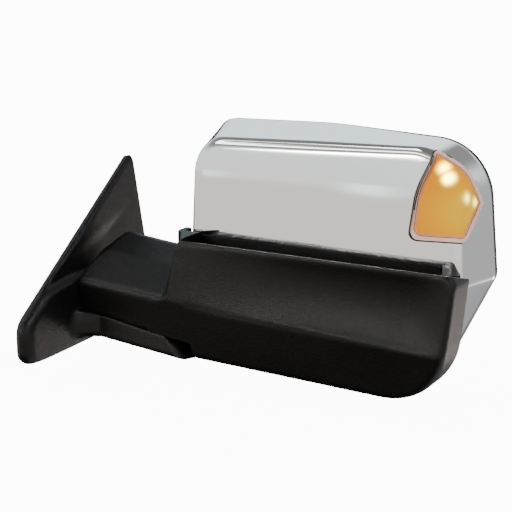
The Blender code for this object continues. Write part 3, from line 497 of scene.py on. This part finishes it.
def amber_lens():
    """Amber plastic with a painted glow: emission, yellow in its middle and hottest over the lights behind
    it, stands in for their light shining through; with fine ribs.
    """
    made, tree, shader = new_material("amber_lens")
    place = tree.nodes.new("ShaderNodeTexCoord").outputs["Object"]
    # Painted hot spots: emission round each lit light.
    painted_hot_spots = 0.0
    for index in LIT_LIGHTS:
        low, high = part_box(f"signal_led_{index}")
        painted_hot_spots = arithmetic(tree, "MAXIMUM", nearness(tree, place, (low + high) / 2, *HOT_REACH), painted_hot_spots)
    # Painted glow round the lens's middle.
    painted_glow = nearness(tree, place, (Vector(LENS_POINT) + Vector(GLOW_OFFSET)) * MM, *GLOW_REACH)
    cloud = node(tree, "ShaderNodeTexNoise", Scale=45.0, Detail=2.0)
    ribs = node(tree, "ShaderNodeTexWave", Scale=150.0, bands_direction="DIAGONAL")
    for texture in (cloud, ribs):
        tree.links.new(place, texture.inputs["Vector"])
    painted_glow_share = arithmetic(tree, "MULTIPLY", painted_glow, 0.45)
    # Place on the colour ramp: random cloud tone plus the painted glow.
    cloud_tone_and_painted_glow = arithmetic(tree, "MULTIPLY_ADD", cloud.outputs["Fac"], 0.3, painted_glow_share)
    # Emission colours of the painted glow, from deep amber to pale yellow where it is hottest.
    tint = tree.nodes.new("ShaderNodeValToRGB")
    tint.color_ramp.elements[0].color = (1.0, 0.30, 0.0, 1)
    tint.color_ramp.elements[0].position = 0.15
    tint.color_ramp.elements[1].color = (1.0, 0.86, 0.14, 1)
    tint.color_ramp.elements.new(0.55).color = (1.0, 0.54, 0.0, 1)
    tree.links.new(arithmetic(tree, "MULTIPLY_ADD", painted_hot_spots, 0.6, cloud_tone_and_painted_glow), tint.inputs["Fac"])
    # Emission strength of the painted glow, far stronger over the lights.
    painted_glow_strength = arithmetic(tree, "MULTIPLY_ADD", arithmetic(tree, "POWER", painted_hot_spots, 3.5), 14.0, 0.9)
    stripes = arithmetic(tree, "MULTIPLY_ADD", ribs.outputs["Fac"], 0.25, 0.87)
    tree.links.new(arithmetic(tree, "MULTIPLY", painted_glow_strength, stripes), shader.inputs["Emission Strength"])
    tree.links.new(tint.outputs["Color"], shader.inputs["Emission Color"])
    shader.inputs["Base Color"].default_value = (0.20, 0.05, 0.0, 1)
    shader.inputs["Roughness"].default_value = 0.14
    shader.inputs["Specular IOR Level"].default_value = 0.06
    return made


MATERIALS = {
    "black": black_plastic(),
    "chrome": chrome_plating(),
    "amber": amber_lens(),
    "steel": machined("zinc_steel", (0.6, 0.59, 0.56), (0.25, 0.42), 300.0),
}
LOOKS = (
    # look, its name, darkest and lightest colour, roughness, scale of the clouds, other settings
    ("lens_rim", "lens_rim", (0.95, 0.52, 0.38), (1.0, 0.68, 0.54), (0.08, 0.14), 40.0, {}),
    ("lens_edge", "lens_edge", (0.75, 0.24, 0.10), (0.88, 0.36, 0.16), (0.08, 0.14), 40.0, {}),
    ("reflector", "reflector", (0.55, 0.5, 0.42), (0.75, 0.7, 0.6), (0.15, 0.25), 80.0,
     {"grain_scale": 1200.0, "metallic": 0.9}),
    ("light", "signal_light", (0.9, 0.55, 0.2), (1.0, 0.7, 0.3), (0.2, 0.3), 200.0, {}),
    ("board", "circuit_board", (0.015, 0.07, 0.03), (0.03, 0.12, 0.05), (0.4, 0.6), 90.0,
     {"grain_scale": 500.0}),
    ("mirror", "mirror_glass", (0.82, 0.84, 0.85), (0.86, 0.87, 0.87), (0.01, 0.03), 20.0,
     {"metallic": 1.0}),
    ("cast", "cast_aluminium", (0.36, 0.36, 0.37), (0.5, 0.5, 0.51), (0.45, 0.6), 50.0,
     {"grain_scale": 600.0, "grain": 0.5, "metallic": 1.0}),
    ("nylon", "nylon", (0.03, 0.03, 0.034), (0.045, 0.045, 0.05), (0.45, 0.6), 40.0,
     {"grain_scale": 1500.0}),
    ("rubber", "rubber", (0.012, 0.012, 0.012), (0.022, 0.022, 0.022), (0.75, 0.9), 60.0,
     {"grain_scale": 1800.0, "grain": 0.5}),
)
for look, title, dark, light, rough, clouds, extra in LOOKS:
    MATERIALS[look] = varied(title, dark, light, rough, clouds, **extra)
LOOK_OF_SLOT = {
    "black_plastic": "black", "chrome": "chrome", "amber_lens": "amber", "reflector": "reflector",
    "signal_light": "light", "circuit_board": "board", "mirror_glass": "mirror", "cast_aluminium": "cast",
    "zinc_steel": "steel", "nylon": "nylon", "rubber": "rubber",
}


def finish_piece(obj, body, look, slot, *nodes):
    """Gives a piece its look, the body it moves with, and the nodes it stands for; its slot is not used."""
    obj.data.materials.clear()
    obj.data.materials.append(MATERIALS[look])
    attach(obj, body)
    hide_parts(*nodes)
    return obj


# ---------------------------------------------------------------- folding joint
def fold_place():
    """Turns heights along Z into heights along the leaning folding axis."""
    turn = Matrix.Rotation(math.radians(FOLD_TILT), 4, "Y")
    return Matrix.Translation((FOLD_X, FOLD_Y, 0)) @ turn


def seam_z(x, height):
    """World height at x of the plane that crosses the folding axis squarely at this height."""
    tilt = math.radians(FOLD_TILT)
    return height / math.cos(tilt) - math.tan(tilt) * (x - FOLD_X)


def hat(level, top, bottom, above):
    """The space above or below the joint's surface: flat inside its radius, sloping down outside it."""
    reach = SEAM_RADIUS + (level - bottom) / SEAM_DROP
    if above:
        profile = [(0, top), (reach, top), (reach, bottom), (SEAM_RADIUS, level), (0, level)]
    else:
        profile = [(0, level), (SEAM_RADIUS, level), (reach, bottom), (0, bottom)]
    return revolve("hat", profile, fold_place(), 128)


def arm_sweep(wall):
    """What the arm moves through, over and outboard of the foot, deeper by a wall."""
    level = SEAM - wall
    outboard = hat(level, 120, -110, True)
    carve(outboard, box("half", (FOLD_X, -150, -150), (300, 200, 250)), operation="INTERSECT")
    radius = SWING_RADIUS + SWING_GAP + wall
    foot = level + 0.1
    sweep = revolve("sweep", [(0, 120), (radius, 120), (radius, foot), (0, foot)], fold_place(), 128)
    return carve(sweep, outboard, operation="UNION")


# ---------------------------------------------------------------- base
def sail_depth(y, z):
    """How far the sail's face stands off the door: a thick low lobe in front, a valley, a thin triangle."""
    lobe = smoothstep(LOBE_FADE, -LOBE_FADE, z - interpolate(LOBE_LINE, y))
    upper = smoothstep(-VALLEY_FADE, VALLEY_FADE, z - interpolate(VALLEY_LINE, y))
    rear = smoothstep(*REAR_FADE, y)
    low = VALLEY_X + (LOBE_X - VALLEY_X) * lobe * (1 - rear)
    return low + (UPPER_X - low) * max(upper, rear)


def foot_section(x, grow):
    """The foot's section at x as a (y, z) outline, grown by a distance."""
    half = math.sqrt(FOOT_TIP_RADIUS**2 - max(x - FOLD_X, 0) ** 2)
    front = max(FOOT_FRONT, FOLD_Y - half) - grow
    rear = min(FOOT_REAR, FOLD_Y + half) + grow
    bottom = FOOT_BOTTOM + FOOT_SLOPE * (x - FOOT_START_X) - grow
    top = seam_z(x, SEAM) + grow
    corners = ((front, top, 1), (rear, top, 1), (rear - 6, bottom, 6), (front - 2, bottom, 6))
    return rounded(corners, 8, 6)


def sail_shares():
    """Where the sail's rings stand between foot and rim: close together at the rim, then even."""
    at_rim = [1 - 0.06 * (step / 9) ** 1.6 for step in range(1, 10)]
    return at_rim + [0.9 - 0.02 * step for step in range(44)]


def base_solid(name, grow, start_x, fine):
    """Sail, flare and foot as one closed solid, grown by a distance. The fine one has lobe and valley."""
    angles = [2 * math.pi * index / RING_POINTS for index in range(RING_POINTS)]
    centre = Vector(SAIL_CENTRE)
    sail = rounded(inset(SAIL_CORNERS, -grow), 8)
    foot = foot_section(FOOT_START_X, grow)
    rim = [ray_point(sail, centre, angle) for angle in angles]
    neck = [ray_point(foot, centre, angle) for angle in angles]
    edge_x = SAIL_EDGE_X + min(grow, 0)
    rings = [[(start_x, *point) for point in rim], [(edge_x, *point) for point in rim]]
    for share in sail_shares():
        rise = max(0.0, 1 - share / FLARE_SHARE) ** 2 * FLARE_REACH
        ring = []
        for near, far in zip(neck, rim):
            spot = near.lerp(far, share)
            swell = sail_depth(*spot) - SAIL_EDGE_X if fine else 0.0
            inward = (far - spot).length * SAIL_ROUNDING
            bulge = math.sqrt(1 - (1 - min(inward / max(swell, 0.1), 1)) ** 2)
            ring.append((edge_x + swell * bulge + rise, *spot))
        rings.append(ring)
    for x in range(int(FOOT_START_X) + 2, int(FOOT_END_X) + 1, 3):
        section = foot_section(x, grow)
        middle = sum(section, Vector((0, 0))) / len(section)
        rings.append([(x + grow, *ray_point(section, middle, angle)) for angle in angles])
    return solid_of_rings(name, rings)


def base_cover():
    """Outer skin less the space the arm swings through, hollow inside, with a mouth for the hinge tower."""
    cover = soften(base_solid("base_cover_skin", BASE_GROW, SAIL_BACK_X, True), BASE_VOXEL, BASE_ROUNDS)
    carve(cover, arm_sweep(0))
    hollow = base_solid("base_hollow", -WALL, -BEYOND, False)
    carve(hollow, arm_sweep(WALL))
    carve(cover, hollow, revolve("tower_mouth", TOWER_MOUTH, fold_place()))
    smooth(cover, 35)
    return finish_piece(cover, "base", "black", "black_plastic", "base_cover")


# ---------------------------------------------------------------- arm
def arm_face(x, z):
    """How far forward the arm's face stands: hollowed above the ridge line, leaning back below it."""
    ridge = interpolate(RIDGE, x)
    if z > ridge:
        share = (z - ridge) / (PADDLE_TOP - ridge)
        fade = smoothstep(*SCOOP_INBOARD, x) * smoothstep(*SCOOP_OUTBOARD, x)
        scoop = SCOOP * 4 * share * max(1 - share, 0) * fade
        return RIDGE_FRONT + share * (PADDLE_TOP_FRONT - RIDGE_FRONT) + scoop
    share = (ridge - z) / (ridge - PADDLE_BOTTOM)
    return RIDGE_FRONT + share * (PADDLE_BOTTOM_FRONT - RIDGE_FRONT)


def paddle_solid(name, draw_in, rear):
    """The long shell in front of the head: a rounded outline and edge, then the face up to its spine."""
    outline = rounded(inset(PADDLE_CORNERS, draw_in), 14, 24)
    ends = [min(max(x, SPINE_START_X), SPINE_END_X) for x, z in outline]
    spine = [Vector((x, interpolate(RIDGE, x))) for x in ends]
    rings = [[(x, rear, z) for x, z in outline]]
    for turn in range(0, 91, 9):
        inward = PADDLE_EDGE * (1 - math.cos(math.radians(turn)))
        back = PADDLE_EDGE * (1 - math.sin(math.radians(turn)))
        spots = [p + (q - p).normalized() * inward for p, q in zip(outline, spine)]
        rings.append([(x, arm_face(x, z) + draw_in + back, z) for x, z in spots])
    last = [Vector((x, z)) for x, y, z in rings[-1]]
    for step in range(1, 16):
        spots = [p.lerp(q, step / 16) for p, q in zip(last, spine)]
        rings.append([(x, arm_face(x, z) + draw_in, z) for x, z in spots])
    return solid_of_rings(name, rings)


def neck_section(x, draw_in, bottom):
    """The neck's section at x as a (y, z) outline, under a roof that slopes up to the rear."""
    radius = (SWING_RADIUS if x < FOLD_X else NECK_END_RADIUS) - draw_in
    rear = min(NECK_REAR - draw_in, FOLD_Y + math.sqrt(max(radius**2 - (FOLD_X - x) ** 2, 9)))
    ridge = interpolate(RIDGE, x)
    full_roof = 53 - 0.1 * (x - 58)
    roof = ridge + (full_roof - ridge) * (rear - RIDGE_FRONT) / (NECK_REAR - RIDGE_FRONT)
    front = RIDGE_FRONT + 0.3 + draw_in
    low_front = arm_face(x, bottom) + 0.3 + draw_in
    drop = draw_in * 1.15
    crown = ((front + rear) / 2, (ridge + roof) / 2 + 2.5 - drop, 60)
    corners = ((front, ridge - drop, 9), crown, (rear, roof - drop, 10),
               (rear, bottom, 0.6), (low_front, bottom, 0.6))
    return rounded(corners, 10, 10)


def neck_solid(name, draw_in, lower):
    """The neck's form, drawn in by a distance, its open underside lower by another."""
    tilt = math.tan(math.radians(FOLD_TILT))
    end = FOLD_X + NECK_END_RADIUS
    rings = []
    for step in range(37):
        x = NECK_START_X + (end - NECK_START_X) * step / 36
        at = min(max(x, NECK_START_X + draw_in), end - draw_in)
        fade = max(FOLD_X - at, 0) / SWING_RADIUS
        section = neck_section(at, draw_in, seam_z(at, SEAM + SEAM_GAP) - lower)
        rings.append([(at + max(z, 0) * tilt * fade + step * 1e-4, y, z) for y, z in section])
    return solid_of_rings(name, rings)


def prism_x(name, outline, start, end):
    """A straight prism of a (y, z) outline along X."""
    return solid_of_rings(name, [[(x, y, z) for y, z in outline] for x in (start, end)])


def arm_front_cover():
    """Paddle, neck and the block at the shelf's end as one softened skin, hollowed from behind and below."""
    cover = paddle_solid("arm_cover_skin", 0, PADDLE_REAR)
    end = [[(x, y, z) for x, y in SHELF_END] for z in (SHELF_END_BOTTOM, SHELF_END_TOP)]
    carve(cover, neck_solid("neck_outer", 0, 0), solid_of_rings("shelf_end", end), operation="UNION")
    soften(cover, ARM_VOXEL, ARM_ROUNDS)
    level = SEAM + SEAM_GAP - 0.2
    paddle_hollow = paddle_solid("paddle_hollow", ARM_WALL, PADDLE_REAR + BEYOND)
    below = [(y, z - WALL) for y, z in GROOVE]
    shelf = prism_x("groove_floor", below, GROOVE_X[0] - WALL, GROOVE_X[1] + WALL)
    carve(paddle_hollow, shelf, hat(level + WALL, 0, -110, False))
    hollows = (
        paddle_hollow,
        neck_solid("neck_hollow", ARM_WALL, 6),
        prism_x("groove", GROOVE, *GROOVE_X),
        base_solid("seam_space", 1.0, -BEYOND, True),
        hat(level, 0, -110, False),
    )
    carve(cover, *hollows)
    smooth(cover, 35)
    return finish_piece(cover, "arm", "black", "black_plastic", "arm_front_cover")


# ---------------------------------------------------------------- head
def crown(z):
    """How far the front face leans back at a height: a little, then more above a soft crease."""
    over = (z - CREASE_Z) / CREASE_SOFT
    upper = (UPPER_LEAN - LOWER_LEAN) * CREASE_SOFT * math.log1p(math.exp(over))
    return LOWER_LEAN * max(z - CHROME_BOTTOM, 0) + upper


def head_corners(y):
    """The head's outline at a depth, between its front and rear outlines."""
    share = (min(max(y, HEAD_FRONT), HEAD_REAR) - HEAD_FRONT) / (HEAD_REAR - HEAD_FRONT)
    return blend_corners(HEAD_FRONT_CORNERS, HEAD_REAR_CORNERS, share)


def head_rings(draw_in=0.0, walls=12, edge=10, face=26):
    """Rings from the open rear edge, along the walls, round the front edge and over the creased face."""
    shoulder = HEAD_FRONT + draw_in + HEAD_EDGE_RADIUS
    rings = []
    for level in range(walls):
        share = level / walls
        y = HEAD_REAR + (shoulder - HEAD_REAR) * share
        outline = rounded(inset(head_corners(y), draw_in), 14, 20)
        rings.append([(x, y + crown(z) * share, z) for x, z in outline])
    for step in range(edge + 1):
        turn = math.radians(90 * step / edge)
        inward = HEAD_EDGE_RADIUS * (1 - math.cos(turn))
        y = shoulder - HEAD_EDGE_RADIUS * math.sin(turn)
        outline = rounded(inset(head_corners(y), draw_in + inward), 14, 20)
        rings.append([(x, y + crown(z), z) for x, z in outline])
    last = rings[-1]
    centre = Vector(HEAD_CENTRE)
    for step in range(1, face):
        share = (step / face) ** 0.8
        ring = [Vector((x, z)).lerp(centre, share) for x, y, z in last]
        rings.append([(x, HEAD_FRONT + draw_in + crown(z), z) for x, z in ring])
    return rings


def head_skin(draw_in=0.0):
    """The head's whole outer surface, open at the rear, drawn in by a distance."""
    x, z = HEAD_CENTRE
    return rings_surface(head_rings(draw_in), (x, HEAD_FRONT + draw_in + crown(z), z))


def split_at(bm, axis, value):
    """Cuts the faces along a plane across one axis, without removing any."""
    point, normal = [0, 0, 0], [0, 0, 0]
    point[axis], normal[axis] = value * MM, 1
    geometry = bm.verts[:] + bm.edges[:] + bm.faces[:]
    bmesh.ops.bisect_plane(bm, geom=geometry, plane_co=point, plane_no=normal, dist=1e-6)


def keep_faces(bm, wanted):
    """Removes the faces whose middle is not wanted."""
    unwanted = [face for face in bm.faces if not wanted(face.calc_center_median() / MM)]
    bmesh.ops.delete(bm, geom=unwanted, context="FACES")


def shell(obj, wall, edge):
    """Gives an open skin its wall, and rounds the cut edges."""
    solid = obj.modifiers.new("wall", "SOLIDIFY")
    solid.thickness = wall * MM
    solid.offset = -1
    solid.use_even_offset = True
    if edge:
        round_edges(obj, edge, 3)
    return apply_modifiers(obj)


def lens_axes():
    """Directions across, up and out of the lens."""
    azimuth, tilt = math.radians(LENS_AZIMUTH), math.radians(LENS_TILT)
    outward = Vector((math.sin(azimuth) * math.cos(tilt), -math.cos(azimuth) * math.cos(tilt),
                      math.sin(tilt)))
    across = Vector((math.cos(azimuth), math.sin(azimuth), 0))
    return across, outward.cross(across), outward


def lens_prism(draw_in):
    """A straight prism of the lens outline, along the way the lens faces."""
    across, up, outward = lens_axes()
    outline = rounded(inset(LENS_CORNERS, draw_in), 12, 8)
    middle = Vector(LENS_POINT)
    rings = [[middle + across * x + up * y + outward * depth for x, y in outline] for depth in LENS_DEPTH]
    return solid_of_rings("lens_prism", rings)


def chrome_cap():
    """The head's skin above the arm and round its outboard side, with a hole for the lens."""
    bm = head_skin()
    split_at(bm, 2, CHROME_BOTTOM)
    split_at(bm, 0, CHROME_SIDE_X)
    keep_faces(bm, lambda at: at.z > CHROME_BOTTOM or at.x > CHROME_SIDE_X)
    cap = shell(link("chrome_cap_skin", bm), WALL, COVER_EDGE)
    carve(cap, lens_prism(LENS_HOLE_INSET))
    smooth(cap)
    return finish_piece(cap, "head", "chrome", "chrome", "chrome_cap")


def head_lower_cover():
    """The rest of the head's skin, behind the arm, with a mouth for the flip shaft."""
    bm = head_skin()
    top, side = CHROME_BOTTOM - COVER_GAP, CHROME_SIDE_X - COVER_GAP
    split_at(bm, 2, top)
    split_at(bm, 0, side)
    keep_faces(bm, lambda at: at.z < top and at.x < side)
    cover = shell(link("head_lower_skin", bm), WALL, COVER_EDGE)
    place = Matrix.Translation((FLIP_X, 0, FLIP_Z)) @ Matrix.Rotation(-math.pi / 2, 4, "X")
    carve(cover, revolve("flip_mouth", FLIP_MOUTH, place))
    smooth(cover)
    return finish_piece(cover, "head", "black", "black_plastic", "head_lower_cover")


def head_bezel():
    """The frame round both glasses."""
    outer = rounded(inset(HEAD_REAR_CORNERS, BEZEL_INSET), 16)
    holes = [rounded(MAIN_OPENING, 12), rounded(SPOT_OPENING, 12)]
    bezel = plate("bezel_frame", outer, holes, *BEZEL_Y, BEZEL_EDGE)
    return finish_piece(bezel, "head", "black", "black_plastic", "head_bezel")


def signal_lens():
    """An amber middle on the head's surface, within a clear stepped rim that stands a little proud."""
    for name, outer, inner, look in LENS_RINGS:
        skin = shell(link(name, head_skin(-LENS_PROUD if inner else 0)), WALL, 0)
        carve(skin, lens_prism(outer), operation="INTERSECT")
        if inner:
            carve(skin, lens_prism(inner))
        finish_piece(smooth(skin), "head", look, "amber_lens", "signal_lens")


def main_glass():
    """The flat main glass."""
    outline = rounded(inset(MAIN_OPENING, GLASS_MARGIN), 12)
    glass = plate("main_mirror_glass", outline, [], *MAIN_GLASS_Y, GLASS_EDGE)
    return finish_piece(glass, "main_mirror", "mirror", "mirror_glass", "main_glass")


def spotter_glass():
    """A convex glass, thickest in the middle."""
    outline = rounded(inset(SPOT_OPENING, GLASS_MARGIN), 12, 6)
    centre = sum(outline, Vector((0, 0))) / len(outline)
    rear, edge, face = SPOT_GLASS_Y
    rings = [[(x, y, z) for x, z in outline] for y in (rear, edge)]
    for step in range(1, 14):
        share = 0.985 * (1 - (step - 1) / 14)
        spots = [centre.lerp(point, share) for point in outline]
        rings.append([(x, face + SPOT_CROWN * (1 - share**2), z) for x, z in spots])
    glass = smooth(solid_of_rings("spotter_mirror_glass", rings), 35)
    return finish_piece(glass, "spotter_mirror", "mirror", "mirror_glass", "spotter_glass")


# ---------------------------------------------------------------- carried-over nodes
def dress_cad_nodes(replaced):
    """The hardware and inner pieces keep their own shape, with rounded edges and their material."""
    slots = {entry["node"]: entry["material_slot"] for entry in frame["record"]["subparts"]}
    for name, cad in frame["nodes"].items():
        if name in replaced:
            continue
        cad.data.materials.clear()
        cad.data.materials.append(MATERIALS[LOOK_OF_SLOT[slots[name]]])
        low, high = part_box(name)
        thinnest = min(high - low) / MM
        round_edges(cad, min(0.8, thinnest * 0.12))


# ---------------------------------------------------------------- stage
def sky_panel(tree, direction, azimuth, elevation, width, height, soft):
    """A mask that is one inside a soft-edged rectangle of the sky. Azimuth 0 is -Y, 90 degrees is +X."""
    turn, rise = math.radians(azimuth), math.radians(elevation)
    ahead = Vector((math.sin(turn) * math.cos(rise), -math.cos(turn) * math.cos(rise), math.sin(rise)))
    side = Vector((math.cos(turn), math.sin(turn), 0))
    up = ahead.cross(side) * -1
    parts = []
    for axis in (ahead, side, up):
        part = node(tree, "ShaderNodeVectorMath", operation="DOT_PRODUCT")
        part.inputs[1].default_value = axis
        tree.links.new(direction, part.inputs[0])
        parts.append(part.outputs["Value"])
    masks = []
    for part, half in ((parts[1], width / 2), (parts[2], height / 2)):
        angle = arithmetic(tree, "ARCTAN2", part, parts[0])
        mask = node(tree, "ShaderNodeMapRange", interpolation_type="SMOOTHSTEP")
        mask.inputs["From Min"].default_value = math.radians(half + soft)
        mask.inputs["From Max"].default_value = math.radians(max(half - soft, 0))
        tree.links.new(arithmetic(tree, "ABSOLUTE", angle), mask.inputs["Value"])
        masks.append(mask.outputs["Result"])
    return arithmetic(tree, "MULTIPLY", *masks)


SKY_HEIGHTS = (
    # sine of the elevation, colour
    (-1.0, (0.03, 0.03, 0.03)),
    (-0.6, (0.05, 0.048, 0.045)),
    (-0.4, (0.45, 0.42, 0.40)),
    (-0.25, (1.15, 1.04, 0.95)),
    (-0.05, (1.15, 1.08, 1.02)),
    (0.03, (1.3, 1.35, 1.3)),
    (0.35, (1.25, 1.35, 1.4)),
    (0.6, (0.35, 0.35, 0.36)),
    (1.0, (0.2, 0.2, 0.2)),
)
SKY_PANELS = (
    # azimuth, elevation, width, height, softness, colour
    (-150, 4, 70, 26, 4.0, (0.06, 0.06, 0.06)),
    (-152, 34, 40, 32, 5.0, (1.50, 1.75, 1.88)),
    (-70, 57, 15, 30, 1.0, (7.0, 7.2, 7.5)),
    (-42, 61, 40, 12, 2.0, (0.50, 0.40, 0.34)),
    (-42, 46, 40, 8, 1.0, (5.0, 5.2, 5.5)),
    (-26, 17, 8, 8, 2.0, (30.0, 27.5, 26.0)),
    (-24, 1, 2.0, 6, 0.7, (2.0, 2.2, 2.3)),
    (-32, 1, 3.0, 4, 0.7, (1.7, 1.9, 2.1)),
    (-26, -27, 20, 5, 2.0, (0.8, 0.75, 0.7)),
    (126, -8, 90, 50, 12.0, (0.58, 0.58, 0.60)),
    (115, -50, 60, 50, 10.0, (1.0, 1.03, 1.07)),
    (154, -25, 22, 8, 2.5, (6.5, 5.7, 5.2)),
    (74, 44, 18, 18, 3.0, (11.0, 11.0, 11.0)),
    (-150, -14, 20, 22, 4.0, (0.05, 0.05, 0.05)),
)


def studio():
    """A room of soft grey walls with large soft lights, as the shiny parts see it."""
    world = bpy.data.worlds.new("studio")
    bpy.context.scene.world = world
    world.use_nodes = True
    tree = world.node_tree
    place = tree.nodes.new("ShaderNodeTexCoord")
    direction = place.outputs["Generated"]
    split = tree.nodes.new("ShaderNodeSeparateXYZ")
    spread = node(tree, "ShaderNodeMapRange")
    spread.inputs["From Min"].default_value = -1
    tree.links.new(direction, split.inputs["Vector"])
    tree.links.new(split.outputs["Z"], spread.inputs["Value"])
    ramp = tree.nodes.new("ShaderNodeValToRGB")
    ramp.color_ramp.interpolation = "EASE"
    elements = ramp.color_ramp.elements
    while len(elements) < len(SKY_HEIGHTS):
        elements.new(0.5)
    for element, (height, colour) in zip(elements, SKY_HEIGHTS):
        element.position = (height + 1) / 2
    for element, (height, colour) in zip(elements, SKY_HEIGHTS):  # moving one can change their order
        element.color = (*colour, 1)
    tree.links.new(spread.outputs["Result"], ramp.inputs["Fac"])
    total = ramp.outputs["Color"]
    for azimuth, elevation, width, height, soft, colour in SKY_PANELS:
        mask = sky_panel(tree, direction, azimuth, elevation, width, height, soft)
        mix = node(tree, "ShaderNodeMix", data_type="RGBA")
        mix.inputs["B"].default_value = (*colour, 1)
        tree.links.new(mask, mix.inputs["Factor"])
        tree.links.new(total, mix.inputs["A"])
        total = mix.outputs["Result"]
    tree.links.new(total, tree.nodes["Background"].inputs["Color"])


def floor():
    """A pale floor, bright enough to read as white, that the object doesn't mirror."""
    bm = bmesh.new()
    bmesh.ops.create_grid(bm, x_segments=1, y_segments=1, size=FLOOR_HALF)
    obj = link("floor", bm)
    obj.location.z = CAD_BOX[0].z - FLOOR_DROP
    made, tree, shader = new_material("floor")
    shader.inputs["Base Color"].default_value = (0.9, 0.9, 0.9, 1)
    shader.inputs["Roughness"].default_value = 0.9
    shader.inputs["Emission Color"].default_value = (1, 1, 1, 1)
    shader.inputs["Emission Strength"].default_value = FLOOR_GLOW
    obj.data.materials.append(made)
    obj.visible_diffuse = False
    obj.visible_glossy = False


def camera():
    """The camera, turned to the object from its front and outboard side."""
    data = bpy.data.cameras.new("camera")
    data.lens = FOCAL_LENGTH
    data.sensor_width = SENSOR
    obj = bpy.data.objects.new("camera", data)
    bpy.context.scene.collection.objects.link(obj)
    azimuth, elevation = math.radians(CAMERA_AZIMUTH), math.radians(CAMERA_ELEVATION)
    away = Vector((math.sin(azimuth) * math.cos(elevation), -math.cos(azimuth) * math.cos(elevation),
                   math.sin(elevation)))
    obj.location = Vector(CAMERA_TARGET) + away * CAMERA_DISTANCE
    obj.rotation_euler = (-away).to_track_quat("-Z", "Y").to_euler()
    bpy.context.scene.camera = obj


camera()
floor()
studio()
base_cover()
arm_front_cover()
chrome_cap()
head_lower_cover()
head_bezel()
signal_lens()
main_glass()
spotter_glass()
dress_cad_nodes(("base_cover", "arm_front_cover", "chrome_cap", "head_lower_cover", "head_bezel",
                 "signal_lens", "main_glass", "spotter_glass"))
